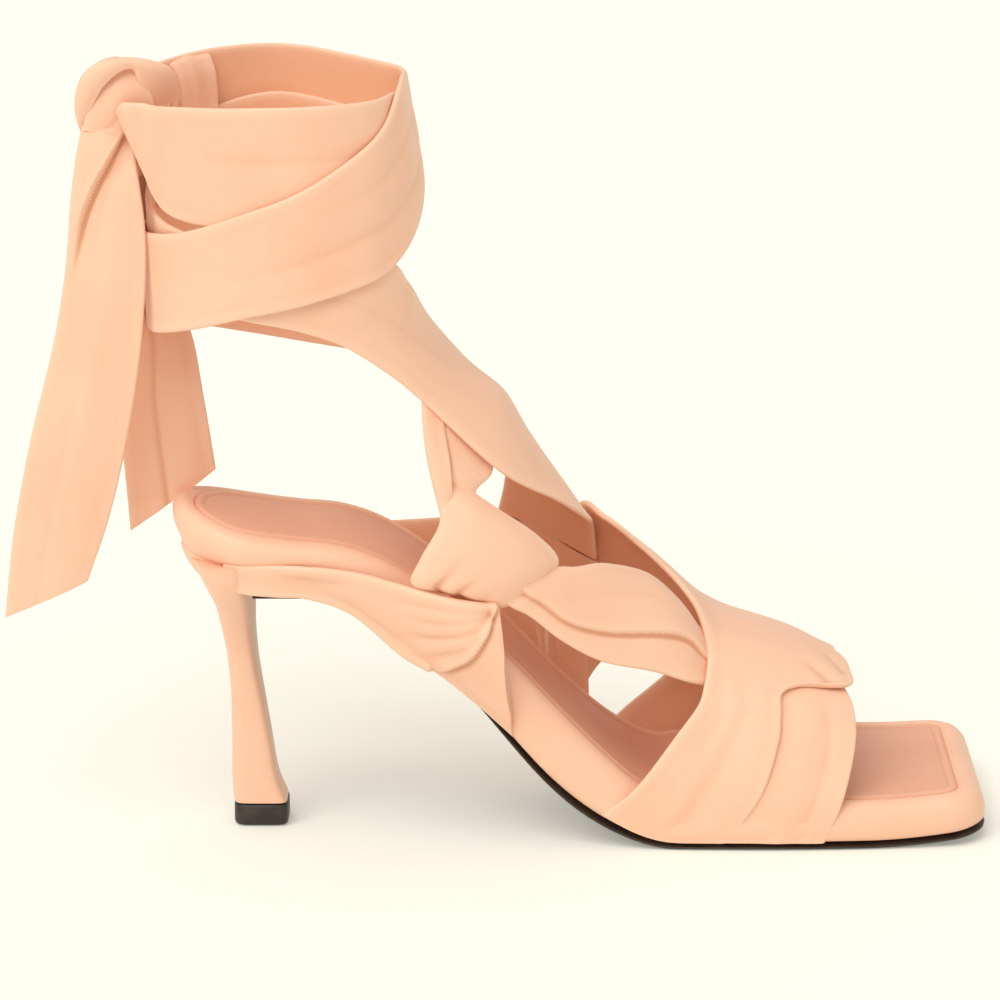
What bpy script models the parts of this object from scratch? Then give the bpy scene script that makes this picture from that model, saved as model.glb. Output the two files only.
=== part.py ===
"""Heeled strap sandal for the right foot, in metres.

The toe points along +X, +Y is the inner side of the foot and +Z is up. The origin is on the floor,
under the centre of the forefoot tread. Tables hold shares of the sizes named below.
"""

import math

import bmesh
import bpy
import numpy as np

# Main sizes
SHOE_LENGTH = 0.232  # back of the seat to the toe end, along the floor
BALL_WIDTH = 0.079
HEEL_RISE = 0.074  # floor to the underside of the sole at the heel
TREAD_FROM_BACK = 0.169  # back of the seat to the centre of the forefoot tread
SEAT_SIDE = -0.012  # the heel's axis lies this far to the outer side of the tread's centre
FIT_GAP = 0.0003  # between pieces that meet

# Sole and bed
OUTSOLE_WALL = 0.002
WAIST_SOLE_INSET = 0.0021
SEAT_FLAT_END = -0.128  # where the waist starts to drop
WAIST_END = -0.024  # where the sole reaches the floor
SPRING_START = 0.030
TOE_SPRING = 0.0036
SEAT_WIDTH = 0.645 * BALL_WIDTH  # at the very back of the plan
HEEL_ROUND = 0.4906 * SEAT_WIDTH
TOE_ROUND = 0.011
OUTSOLE_INSET = 0.001
OUTSOLE_BEVEL = 0.0005
INSET_START = -0.088  # from here forward the outsole comes out to its full width
INSET_LENGTH = 0.034
BED_THICKNESS = 0.0115
SEAT_BLOCK = 0.008  # how far the heel's block lifts the bed off the outsole
BLOCK_START = -0.137
BLOCK_END = -0.110
SEAM_INSET = 0.0068
SOCK_WALL = 0.0012
SOCK_EDGE = 0.0022  # the sock's rounded edge
SOCK_CROWN = 0.0004
SOCK_CROWN_INSET = 0.009

# Heel
BREAST = -0.1451
HEEL_BACK = -0.1526
TOP_PIECE_HEIGHT = 0.0066
TOP_PIECE_BEVEL = 0.0004
HEEL_HALF_WIDTH = 0.4416 * SEAT_WIDTH  # where the stem meets the seat block
BLOCK_INSET = 0.0027  # the block under the edge of the bed
BLOCK_FRONT = -0.120

# Straps
STRAP_WALL = 0.0018
FOLD_UNIT = 0.001  # lifts, puffs and heights in the strap tables are in this
END_FOLD = 0.0016  # how far a hanging end folds along its middle
FORM_DROP = 0.020  # the foot form's middle lies this far under its surface
INSTEP_HEIGHT = 0.086  # ridge of the foot form where the diagonal tie leaves it
ANKLE_HEIGHT = 0.150  # floor to the front of the ankle
ANKLE_X = -0.134
ANKLE_RADIUS = 0.037
TIE_DROP = 0.142
NEAR_END_CUT = 0.011
FAR_END_CUT = 0.018
TIE_KNOT = (-0.1815, -0.017, 0.2120)
TIE_KNOT_HALF = (0.0125, 0.0085, 0.0105)

# along: share of the length; near, far: shares of the ball width; bed: share of the bed's thickness
PLAN_ROWS = (
    # along  near    far    bed
    (0.000, -0.480, 0.165, 2.15),
    (0.035, -0.488, 0.168, 1.80),
    (0.100, -0.494, 0.170, 1.42),
    (0.180, -0.494, 0.176, 1.22),
    (0.290, -0.474, 0.172, 1.14),
    (0.405, -0.450, 0.164, 1.10),
    (0.470, -0.456, 0.196, 1.08),
    (0.535, -0.478, 0.278, 1.04),
    (0.600, -0.496, 0.366, 1.00),
    (0.665, -0.506, 0.436, 0.98),
    (0.730, -0.508, 0.476, 0.98),
    (0.795, -0.504, 0.494, 0.98),
    (0.860, -0.494, 0.498, 0.97),
    (0.930, -0.474, 0.486, 0.95),
    (1.000, -0.448, 0.460, 0.90),
)

# inset: in from the plan's outline, a share of the seam inset; rise: share of the bed's thickness
BED_RINGS = (
    # inset rise
    (0.40, 0.00),
    (0.10, 0.12),
    (0.00, 0.42),
    (0.10, 0.72),
    (0.38, 0.95),
    (0.70, 1.00),
    (1.00, 0.95),
)

# Heel sections from the floor to the block. back, breast: from HEEL_BACK, shares of the heel rise;
# half: share of HEEL_HALF_WIDTH; square: exponent of the section's rounding
HEEL_ROWS = (
    # up    back    breast  half  square
    (0.0892, 0.006, 0.219, 0.31, 5.0),
    (0.150, 0.001, 0.192, 0.30, 4.4),
    (0.210, -0.002, 0.175, 0.295, 4.0),
    (0.350, 0.000, 0.155, 0.29, 3.2),
    (0.515, -0.001, 0.129, 0.31, 2.8),
    (0.690, -0.014, 0.104, 0.40, 2.5),
    (0.820, -0.036, 0.096, 0.58, 2.4),
    (0.920, -0.058, 0.097, 0.79, 2.3),
    (0.985, -0.084, 0.099, 0.97, 2.3),
    (1.050, -0.113, 0.100, 1.10, 2.3),
    (1.128, -0.145, 0.102, 1.16, 2.3),
)

# The foot inside the straps. ridge, near, far: shares of the ball width; top: share of INSTEP_HEIGHT
FOOT_ROWS = (
    # along  ridge   near  far   top
    (0.147, -0.152, 0.380, 0.367, 2.32),
    (0.276, -0.152, 0.392, 0.380, 2.09),
    (0.405, -0.127, 0.430, 0.418, 1.52),
    (0.461, -0.101, 0.418, 0.450, 1.24),
    (0.534, -0.063, 0.430, 0.485, 0.955),
    (0.599, -0.025, 0.450, 0.520, 0.825),
    (0.664, 0.000, 0.468, 0.535, 0.660),
    (0.728, 0.013, 0.485, 0.540, 0.602),
    (0.793, 0.025, 0.500, 0.530, 0.542),
    (0.858, 0.025, 0.500, 0.515, 0.460),
)
FOOT_SQUARE = 2.4
BLEND_HEIGHT = 0.024  # over which a strap leaves the side of the bed for the foot

# The leg inside the ties. up: share of ANKLE_HEIGHT; back, front, side: shares of ANKLE_RADIUS
LEG_ROWS = (
    # up   back  front side  blunt
    (0.50, 0.92, 2.70, 0.84, 0.0),
    (0.60, 0.92, 2.38, 0.865, 0.0),
    (0.733, 0.95, 1.89, 0.89, 0.03),
    (0.88, 0.97, 1.54, 0.92, 0.11),
    (1.00, 1.00, 1.24, 0.945, 0.205),
    (1.13, 1.03, 1.08, 0.973, 0.145),
    (1.247, 1.05, 1.05, 0.973, 0.135),
    (1.48, 1.08, 1.00, 0.973, 0.24),
)

# Straps on the foot. a and f are the back and front edges: along is a share of the length and
# around runs from -1 at the outer edge of the sole through 0 on the ridge to 1 at the inner edge.
# lift and puff are in FOLD_UNIT.
VAMP_ROWS = (
    # along_a around_a along_f around_f lift puff
    (0.536, -1.00, 0.680, -1.00, 0.3, 0.0),
    (0.577, -0.90, 0.722, -0.86, 1.4, 0.0),
    (0.625, -0.71, 0.742, -0.66, 2.0, 0.0),
    (0.651, -0.57, 0.745, -0.49, 2.1, 0.0),
    (0.659, -0.39, 0.742, -0.32, 2.1, 0.0),
    (0.653, -0.20, 0.732, -0.12, 2.0, 0.0),
    (0.640, -0.03, 0.716, 0.12, 1.8, 0.0),
    (0.612, 0.05, 0.688, 0.36, 1.6, 0.0),
    (0.572, 0.10, 0.640, 0.56, 2.8, 0.0),
    (0.524, 0.14, 0.580, 0.70, 3.4, 0.0),
    (0.492, 0.38, 0.532, 0.82, 3.8, 0.0),
    (0.472, 0.78, 0.508, 0.93, 2.0, 0.0),
    (0.466, 1.00, 0.504, 1.00, 0.2, 0.0),
)
TOE_BAND_ROWS = (
    (0.655, -1.00, 0.801, -1.00, 0.1, 0.0),
    (0.685, -0.87, 0.823, -0.84, 0.3, 0.0),
    (0.705, -0.69, 0.838, -0.58, 0.2, 0.0),
    (0.715, -0.50, 0.838, -0.39, 0.1, 0.0),
    (0.715, -0.32, 0.835, -0.22, 0.0, 0.0),
    (0.712, -0.16, 0.828, -0.08, -0.2, 0.0),
)
CROSSING_ROWS = (
    (0.738, -0.43, 0.836, -0.30, 1.6, 0.0),
    (0.722, -0.26, 0.838, -0.17, 1.9, 1.2),
    (0.708, -0.04, 0.834, -0.03, 1.2, 1.0),
    (0.695, 0.20, 0.825, 0.20, 0.4, 0.4),
    (0.672, 0.50, 0.820, 0.50, 0.2, 0.0),
    (0.626, 0.78, 0.820, 0.76, 0.2, 0.0),
    (0.566, 0.92, 0.824, 0.90, 0.2, 0.0),
    (0.524, 1.00, 0.828, 1.00, 0.2, 0.0),
)
TWIST_ROWS = (
    (0.690, -0.18, 0.690, -0.46, 0.0, 0.0),
    (0.653, -0.20, 0.659, -0.47, 0.3, 1.0),
    (0.616, -0.14, 0.627, -0.51, 0.6, 2.2),
    (0.579, -0.14, 0.590, -0.55, 0.9, 3.0),
    (0.528, -0.26, 0.527, -0.62, 1.0, 3.2),
    (0.490, -0.43, 0.478, -0.68, 1.0, 2.8),
    (0.470, -0.52, 0.441, -0.72, 0.8, 2.2),
    (0.448, -0.60, 0.415, -0.76, 0.4, 1.6),
)
INNER_BAND_ROWS = (
    (0.464, 1.00, 0.520, 1.00, 0.0, 0.0),
    (0.460, 0.93, 0.518, 0.90, 0.0, 0.0),
    (0.451, 0.87, 0.517, 0.80, 0.0, 0.0),
    (0.434, 0.81, 0.520, 0.677, 0.0, 0.0),
    (0.406, 0.71, 0.525, 0.475, 0.0, 0.0),
)

# Straps along the side of the bed. up: over the edge of the sole, in FOLD_UNIT
WING_ROWS = (
    # along_t up_t along_b up_b lift puff
    (0.1005, 9.0, 0.1005, 2.4, 0.0, 0.0),
    (0.180, 9.4, 0.175, 1.6, 0.0, 0.0),
    (0.236, 12.2, 0.226, 0.0, 0.2, 0.4),
    (0.286, 17.0, 0.286, -1.0, 0.8, 0.8),
    (0.333, 24.0, 0.332, -0.6, 1.2, 1.2),
    (0.372, 31.0, 0.378, 1.4, 0.8, 1.0),
    (0.402, 37.5, 0.424, 2.6, 0.0, 0.3),
)
INNER_WING_ROWS = (
    (0.1005, 9.0, 0.1005, 2.4, 0.0, 0.0),
    (0.180, 9.4, 0.175, 1.6, 0.0, 0.0),
    (0.250, 12.8, 0.240, 0.0, 0.0, 0.0),
    (0.300, 21.0, 0.290, -0.6, 0.0, 0.0),
    (0.350, 32.0, 0.345, 0.0, 0.0, 0.0),
    (0.400, 45.0, 0.405, 2.6, 0.2, 0.0),
    (0.432, 51.0, 0.470, 2.6, 0.4, 0.0),
)

# Knot on the outer side and the ties. turn: degrees about the leg, 0 at the front and -90 at the
# outer side; up: share of ANKLE_HEIGHT. On the first rows of INNER_TIE the edges lie on the foot.
SIDE_KNOT_ROWS = (
    # turn_a up_a turn_b up_b lift puff
    (-57.5, 0.683, -47.0, 0.690, 1.0, 2.4),
    (-60.0, 0.640, -43.0, 0.655, 2.0, 4.0),
    (-65.5, 0.590, -39.0, 0.612, 2.4, 6.0),
    (-68.5, 0.543, -37.5, 0.562, 2.0, 7.0),
    (-63.5, 0.517, -44.5, 0.520, 1.0, 5.0),
    (-57.5, 0.490, -51.5, 0.492, -1.0, 1.6),
)
OUTER_TIE_ROWS = (
    (-57.5, 0.687, -47.0, 0.694, 0.0, 0.8),
    (-55.0, 0.790, -36.5, 0.735, 0.0, 0.4),
    (-46.0, 0.885, -28.0, 0.785, -0.6, 0.0),
    (-24.0, 0.945, -8.0, 0.825, -1.6, 0.0),
    (12.0, 1.000, 15.0, 0.855, -1.6, 0.0),
    (45.0, 1.053, 45.0, 0.875, -1.2, 0.0),
    (90.0, 1.093, 90.0, 0.905, -0.6, 0.0),
    (135.0, 1.140, 135.0, 0.950, 0.6, 0.0),
    (170.0, 1.173, 166.0, 0.990, 2.2, 0.0),
    (200.0, 1.180, 200.0, 1.000, 2.6, 0.0),
    (229.0, 1.203, 229.0, 1.029, 2.6, 0.0),
    (255.0, 1.247, 255.0, 1.064, 2.6, 0.0),
    (277.0, 1.290, 277.0, 1.089, 2.6, 0.0),
    (300.0, 1.352, 300.0, 1.117, 2.6, 0.0),
    (315.0, 1.396, 315.0, 1.140, 2.6, 0.0),
    (333.0, 1.450, 333.0, 1.183, 2.6, 0.0),
    (355.0, 1.457, 357.0, 1.230, 2.6, 0.0),
    (375.0, 1.452, 375.0, 1.275, 2.6, 0.0),
    (405.0, 1.447, 405.0, 1.313, 2.2, 0.0),
    (450.0, 1.470, 450.0, 1.353, 1.8, 0.0),
    (480.0, 1.470, 480.0, 1.363, 1.8, 0.0),
    (510.0, 1.460, 510.0, 1.367, 1.8, 0.6),
    (531.0, 1.447, 531.0, 1.380, 2.6, 1.2),
)
INNER_TIE_FOOT_ROWS = (
    # along_f around_f along_b around_b lift puff
    (0.5244, 0.461, 0.4055, 0.695, 0.0, 0.0),
    (0.518, 0.250, 0.410, 0.590, 0.0, 0.0),
    (0.508, -0.020, 0.412, 0.480, 0.0, 0.0),
    (0.472, -0.205, 0.410, 0.380, 0.2, 0.0),
    (0.405, -0.440, 0.402, 0.260, 0.5, 0.0),
)
INNER_TIE_ROWS = (
    (-46.5, 0.873, 12.0, 0.930, 0.8, 0.0),
    (-54.5, 0.935, -5.0, 1.010, 0.8, 0.0),
    (-69.0, 1.000, -27.0, 1.090, 0.4, 0.0),
    (-84.5, 1.033, -47.0, 1.150, 0.2, 0.0),
    (-110.0, 1.055, -90.0, 1.195, 0.0, 0.0),
    (-140.0, 1.070, -135.0, 1.198, 0.0, 0.0),
    (-180.0, 1.095, -180.0, 1.235, 0.0, 0.0),
    (-220.0, 1.130, -220.0, 1.335, 0.0, 0.0),
    (-260.0, 1.170, -260.0, 1.381, 0.0, 0.0),
    (-300.0, 1.205, -300.0, 1.358, 0.0, 0.0),
    (-340.0, 1.230, -340.0, 1.395, 0.4, 0.0),
    (-380.0, 1.237, -380.0, 1.440, 0.8, 0.0),
    (-410.0, 1.237, -410.0, 1.443, 0.8, 0.0),
    (-440.0, 1.233, -440.0, 1.443, 0.8, 0.0),
    (-470.0, 1.223, -470.0, 1.438, 0.8, 0.0),
    (-498.0, 1.232, -495.0, 1.430, 0.9, 0.0),
    (-516.0, 1.275, -514.0, 1.418, 1.2, 0.8),
    (-530.0, 1.330, -529.0, 1.400, 2.0, 1.2),
)

# Hanging ends. down: share of TIE_DROP under the knot; back, front: along X from the knot, and
# out: towards the outer side, in FOLD_UNIT; turn: how far the band turns across its width
NEAR_END_ROWS = (
    # down  back  front  out  turn
    (0.00, -6.5, 2.5, 1.0, 2.0),
    (0.10, -9.5, 4.0, 5.5, -2.0),
    (0.26, -11.5, 6.3, 8.5, -6.0),
    (0.46, -15.5, 5.6, 8.5, -6.0),
    (0.66, -22.5, 1.5, 7.5, -3.0),
    (0.86, -29.0, -4.5, 6.0, -2.0),
    (1.03, -33.5, -11.5, 5.0, -1.0),
)
FAR_END_ROWS = (
    (0.00, -4.0, 3.0, -9.0, 4.0),
    (0.12, -3.0, 6.0, -14.0, 14.0),
    (0.28, -1.5, 8.0, -16.5, 17.0),
    (0.38, -1.0, 8.2, -17.5, 17.0),
    (0.45, -0.8, 10.0, -18.0, 16.0),
    (0.52, -0.8, 18.5, -16.5, 8.0),
    (0.66, -1.4, 23.0, -15.0, 0.0),
    (0.885, 0.7, 24.6, -15.0, -1.0),
)

STATIONS = 36
BAND_STEPS = 2
BAND_ACROSS = 4


def clear_scene():
    for item in list(bpy.data.objects):
        bpy.data.objects.remove(item, do_unlink=True)


def smooth_step(value):
    value = min(max(value, 0.0), 1.0)
    return value * value * (3.0 - 2.0 * value)


def table_value(rows, key, column):
    """Smooth value of one column at a key in the first column, with no overshoot."""
    xs = [row[0] for row in rows]
    ys = [row[column] for row in rows]
    if key <= xs[0]:
        return ys[0]
    if key >= xs[-1]:
        return ys[-1]
    i = max(k for k in range(len(xs) - 1) if xs[k] <= key)
    slope = [(ys[k + 1] - ys[k]) / (xs[k + 1] - xs[k]) for k in range(len(xs) - 1)]

    def tangent(k):
        if k == 0:
            return slope[0]
        if k == len(xs) - 1:
            return slope[-1]
        if slope[k - 1] * slope[k] <= 0.0:
            return 0.0
        return 2.0 * slope[k - 1] * slope[k] / (slope[k - 1] + slope[k])

    width = xs[i + 1] - xs[i]
    t = (key - xs[i]) / width
    t2, t3 = t * t, t * t * t
    start = (2 * t3 - 3 * t2 + 1) * ys[i] + (t3 - 2 * t2 + t) * width * tangent(i)
    return start + (3 * t2 - 2 * t3) * ys[i + 1] + (t3 - t2) * width * tangent(i + 1)


def along_x(share):
    return share * SHOE_LENGTH - TREAD_FROM_BACK


def sole_height(x):
    """Underside of the outsole over the floor."""
    toe = SHOE_LENGTH - TREAD_FROM_BACK
    waist = 1.0 - smooth_step((x - SEAT_FLAT_END) / (WAIST_END - SEAT_FLAT_END))
    spring = max(0.0, (x - SPRING_START) / (toe - SPRING_START)) ** 2
    return HEEL_RISE * waist + TOE_SPRING * spring


def sole_normal(x):
    step = 0.0005
    rise = (sole_height(x + step) - sole_height(x - step)) / (2 * step)
    length = math.hypot(1.0, rise)
    return -rise / length, 1.0 / length


def seat_block(x):
    return SEAT_BLOCK * (1.0 - smooth_step((x - BLOCK_START) / (BLOCK_END - BLOCK_START)))


def bed_thickness(x):
    share = (x + TREAD_FROM_BACK) / SHOE_LENGTH
    return BED_THICKNESS * table_value(PLAN_ROWS, share, 3) - seat_block(x)


def stations(first, last):
    """Stations along the sole that every piece shares, closer together at both ends."""
    back, toe = -TREAD_FROM_BACK, SHOE_LENGTH - TREAD_FROM_BACK
    shared = []
    for k in range(STATIONS + 1):
        share = 0.5 - 0.5 * math.cos(math.pi * k / STATIONS)
        shared.append(back + (toe - back) * (0.45 * k / STATIONS + 0.55 * share))
    inside = [x for x in shared if first + 0.001 < x < last - 0.001]
    return [first, *inside, last]


def plan_ring(first, last, inset, open_front=False):
    """Plan outline of the sole between two stations, moved in by an even distance. The near side
    runs forward, then the far side runs back. Both ends are rounded unless the front is cut open."""
    back, toe = -TREAD_FROM_BACK, SHOE_LENGTH - TREAD_FROM_BACK
    heel_round = max(HEEL_ROUND - inset, 0.001)
    toe_round = max(TOE_ROUND - inset, 0.001)
    near_side, far_side = [], []
    for x in stations(first, last):
        # only the stations of the two rounded ends move with the inset
        if x < back + HEEL_ROUND and first <= back:
            x += inset * (1.0 - (x - back) / HEEL_ROUND)
        if x > toe - TOE_ROUND and not open_front:
            x -= inset * (1.0 - (toe - x) / TOE_ROUND)
        along = (x - back) / SHOE_LENGTH
        tuck = inset
        if x - back - inset < heel_round:
            gap = heel_round - (x - back - inset)
            tuck += heel_round - math.sqrt(max(heel_round**2 - gap**2, 0.0))
        if toe - inset - x < toe_round:
            gap = toe_round - (toe - inset - x)
            tuck += toe_round - math.sqrt(max(toe_round**2 - gap**2, 0.0))
        near_side.append((x, BALL_WIDTH * table_value(PLAN_ROWS, along, 1) + tuck))
        far_side.append((x, BALL_WIDTH * table_value(PLAN_ROWS, along, 2) - tuck))
    return near_side + far_side[::-1]


def over_sole(x, y, rise):
    """Point at this height over the sole's underside, measured square to the sole."""
    nx, nz = sole_normal(x)
    return (x + nx * rise, y, sole_height(x) + nz * rise)


def mesh_object(name, points, faces, collection):
    mesh = bpy.data.meshes.new(name)
    mesh.from_pydata([tuple(float(c) for c in p) for p in points], [], faces)
    mesh.validate()
    mesh.update()
    item = bpy.data.objects.new(name, mesh)
    collection.objects.link(item)
    return item


def cap_faces(start, count, flip):
    """Strips across a ring whose second half runs back along the first."""
    faces = []
    for k in range(count // 2 - 1):
        a, b = start + k, start + k + 1
        c, d = start + count - 2 - k, start + count - 1 - k
        faces.append((a, d, c, b) if flip else (a, b, c, d))
    return faces


def stacked_rings(name, rings, collection):
    """Closed solid from rings with the same point count, first ring at the bottom."""
    count = len(rings[0])
    points = [point for ring in rings for point in ring]
    faces = cap_faces(0, count, True)
    for level in range(len(rings) - 1):
        for k in range(count):
            a, b = level * count + k, level * count + (k + 1) % count
            faces.append((a, b, b + count, a + count))
    faces += cap_faces((len(rings) - 1) * count, count, False)
    return mesh_object(name, points, faces, collection)


def make_footbed(collection, name="footbed", grow=0.0):
    """The wrapped bed with the recess of the sock. grow makes room for it in a strap."""
    back, toe = -TREAD_FROM_BACK, SHOE_LENGTH - TREAD_FROM_BACK
    base = OUTSOLE_WALL + FIT_GAP
    depth = SOCK_WALL + FIT_GAP
    rings = []
    rows = [(*row, 0.0) for row in BED_RINGS]
    if not grow:
        rows.append((*BED_RINGS[-1], depth))
    for inset, share, sink in rows:
        raised = grow * (2.0 * share - 1.0) - sink
        rings.append(
            [
                over_sole(x, y, base + seat_block(x) + share * bed_thickness(x) + raised)
                for x, y in plan_ring(back, toe, inset * SEAM_INSET - grow)
            ]
        )
    return stacked_rings(name, rings, collection)


def make_sock(collection):
    back, toe = -TREAD_FROM_BACK, SHOE_LENGTH - TREAD_FROM_BACK
    base = OUTSOLE_WALL + FIT_GAP - SOCK_WALL
    rows = (
        (FIT_GAP, 0.0),
        (FIT_GAP, 0.7 * SOCK_WALL),
        (SOCK_EDGE, SOCK_WALL),
        (SOCK_CROWN_INSET, SOCK_WALL + SOCK_CROWN),
    )
    rings = []
    for inset, rise in rows:
        rings.append(
            [
                over_sole(x, y, base + seat_block(x) + BED_RINGS[-1][1] * bed_thickness(x) + rise)
                for x, y in plan_ring(back, toe, SEAM_INSET + inset)
            ]
        )
    return stacked_rings("sock", rings, collection)


def make_outsole(collection, name="outsole", grow=0.0):
    """The thin sole. grow makes room for it in a strap."""
    toe = SHOE_LENGTH - TREAD_FROM_BACK
    rings = []
    rows = ((2.0, 0.0), (0.6, OUTSOLE_BEVEL), (0.0, OUTSOLE_WALL))
    for bevels, rise in rows:
        plan = plan_ring(BREAST + FIT_GAP, toe, OUTSOLE_INSET + bevels * OUTSOLE_BEVEL - grow)
        ring = []
        for k, (x, y) in enumerate(plan):
            # drawn in under the straps of the waist and the seat
            full = smooth_step((x - INSET_START) / INSET_LENGTH)
            waist = WAIST_SOLE_INSET * (1.0 - full)
            drawn = waist if k < len(plan) // 2 else -waist
            ring.append(over_sole(x, y + drawn, rise + (grow if rise else -grow)))
        rings.append(ring)
    return stacked_rings(name, rings, collection)


def heel_section(back, breast, half, square, z, count=20):
    """Rounded section with a flat breast."""
    ring = []
    centre, reach = (back + breast) / 2, (breast - back) / 2
    for k in range(count):
        angle = 2 * math.pi * (k + 0.5) / count - math.pi
        c, s = math.cos(angle), math.sin(angle)
        power = 2.0 / (square if c < 0 else square + 1.5)
        x = centre + reach * math.copysign(abs(c) ** power, c)
        y = half * math.copysign(abs(s) ** power, s)
        ring.append((x, SEAT_SIDE + y, z))
    return ring


def lofted(name, rings, collection):
    """Closed solid from rings round a closed axis, with flat ends."""
    count = len(rings[0])
    points = [point for ring in rings for point in ring]
    faces = [tuple(reversed(range(count)))]
    for level in range(len(rings) - 1):
        for k in range(count):
            a, b = level * count + k, level * count + (k + 1) % count
            faces.append((a, b, b + count, a + count))
    top = (len(rings) - 1) * count
    faces.append(tuple(range(top, top + count)))
    return mesh_object(name, points, faces, collection)


def make_heel(collection, helpers):
    rings = []
    for up, back, breast, half, square in HEEL_ROWS:
        rings.append(
            heel_section(
                HEEL_BACK + back * HEEL_RISE,
                HEEL_BACK + breast * HEEL_RISE,
                half * HEEL_HALF_WIDTH,
                square,
                up * HEEL_RISE + (FIT_GAP if up < 0.11 else 0.0),
            )
        )
    heel = lofted("heel", rings, collection)
    block = []
    for inset, share in ((2.07, 0.0), (1.33, 0.35), (1.04, 0.75), (1.0, 1.0)):
        block.append([])
        for x, y in plan_ring(-TREAD_FROM_BACK, BLOCK_FRONT, inset * BLOCK_INSET, True):
            low = OUTSOLE_WALL + FIT_GAP
            high = OUTSOLE_WALL + seat_block(x)
            block[-1].append(over_sole(x, y, low + (high - low) * share))
    seat = stacked_rings("heel_block", block, helpers)
    join(heel, [seat])
    return heel


def make_top_piece(collection):
    row = HEEL_ROWS[0]
    rings = []
    rows = ((0.0, -TOP_PIECE_BEVEL), (TOP_PIECE_BEVEL, 0.0), (TOP_PIECE_HEIGHT - FIT_GAP, 0.0))
    for z, grow in rows:
        rings.append(
            heel_section(
                HEEL_BACK + row[1] * HEEL_RISE - grow,
                HEEL_BACK + row[2] * HEEL_RISE + grow,
                row[3] * HEEL_HALF_WIDTH + grow,
                row[4],
                z,
            )
        )
    return lofted("top_piece", rings, collection)


def bed_tuck(x, rise):
    """How far the side of the bed lies inside the plan at a height over the bed's underside."""
    share = rise / bed_thickness(x)
    last = BED_RINGS[0]
    if share <= last[1]:
        return last[0] * SEAM_INSET
    for ring in BED_RINGS[1:3]:
        if share <= ring[1]:
            t = (share - last[1]) / (ring[1] - last[1])
            return (last[0] + (ring[0] - last[0]) * t) * SEAM_INSET
        last = ring
    return 0.0


def form_side(along, z, side):
    """Ridge and half width of the foot form at a height: the side of the bed below, the foot above."""
    x = along_x(along)
    ridge = BALL_WIDTH * table_value(FOOT_ROWS, along, 1)
    edge = BALL_WIDTH * table_value(PLAN_ROWS, along, 1 if side < 0 else 2)
    low = sole_height(x) + OUTSOLE_WALL + FIT_GAP
    base = abs(edge - ridge) + FIT_GAP - bed_tuck(x, z - low - seat_block(x))
    full = BALL_WIDTH * table_value(FOOT_ROWS, along, 2 if side < 0 else 3)
    return ridge, base + (full - base) * smooth_step((z - low) / BLEND_HEIGHT)


def foot_point(along, around):
    """Point of the foot form by its share round the section."""
    x = along_x(along)
    angle = around * math.pi / 2
    low = sole_height(x) + OUTSOLE_WALL + FIT_GAP
    high = INSTEP_HEIGHT * table_value(FOOT_ROWS, along, 4)
    power = 2.0 / FOOT_SQUARE
    z = low + (high - low) * abs(math.cos(angle)) ** power
    ridge, reach = form_side(along, z, -1.0 if around < 0 else 1.0)
    y = ridge + reach * math.copysign(abs(math.sin(angle)) ** power, around)
    return np.array([x, y, z])


def flank_point(along, up, side):
    """Point of the foot form by its height over the underside of the sole."""
    x = along_x(along)
    low = sole_height(x)
    high = INSTEP_HEIGHT * table_value(FOOT_ROWS, along, 4)
    rise = min(max((up - OUTSOLE_WALL) / (high - low), 0.0), 1.0)
    ridge, reach = form_side(along, low + up, side)
    y = ridge + side * reach * (1.0 - rise**FOOT_SQUARE) ** (1.0 / FOOT_SQUARE)
    return np.array([x, y, low + up])


def leg_point(turn, up):
    angle = math.radians(turn)
    c, s = math.cos(angle), math.sin(angle)
    back, front, side = (ANKLE_RADIUS * table_value(LEG_ROWS, up, k) for k in (1, 2, 3))
    front *= 1.0 - table_value(LEG_ROWS, up, 4) * max(c, 0.0) ** 3
    blend = smooth_step(0.5 + 1.5 * c)
    x = ANKLE_X + c * (front * blend + back * (1.0 - blend))
    return np.array([x, SEAT_SIDE + side * s, up * ANKLE_HEIGHT])


def surface_row(form, row):
    """Points across one row of a band, lifted off its form."""
    points = []
    step = 1e-3
    for j in range(BAND_ACROSS + 1):
        t = j / BAND_ACROSS
        u = row[0] + (row[2] - row[0]) * t
        w = row[1] + (row[3] - row[1]) * t
        point = form(u, w)
        scale = 100.0 if form is leg_point else 1.0
        du = form(u + step * scale, w) - form(u - step * scale, w)
        dw = form(u, min(w + step, 0.9995)) - form(u, w - step) if form is foot_point else (
            form(u, w + step) - form(u, w - step)
        )
        normal = np.cross(du, dw)
        length = np.linalg.norm(normal)
        if length > 0:
            normal /= length
        centre = point.copy()
        if form is leg_point:
            centre[0], centre[1] = ANKLE_X, SEAT_SIDE
        else:
            centre[1] = SEAT_SIDE * 0.5
            centre[2] -= FORM_DROP
        if np.dot(normal, point - centre) < 0:
            normal = -normal
        points.append(point + normal * row[4] * FOLD_UNIT)
    return points


def catmull(rows, steps):
    """Denser rows through the given ones."""
    rows = [np.array(row) for row in rows]
    out = []
    for i in range(len(rows) - 1):
        before = rows[i - 1] if i else 2 * rows[i] - rows[i + 1]
        after = rows[i + 2] if i + 2 < len(rows) else 2 * rows[i + 1] - rows[i]
        for s in range(steps):
            t = s / steps
            t2, t3 = t * t, t * t * t
            out.append(
                0.5
                * (
                    2 * rows[i]
                    + (rows[i + 1] - before) * t
                    + (2 * before - 5 * rows[i] + 4 * rows[i + 1] - after) * t2
                    + (3 * rows[i] - before - 3 * rows[i + 1] + after) * t3
                )
            )
    out.append(rows[-1])
    return out


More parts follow.
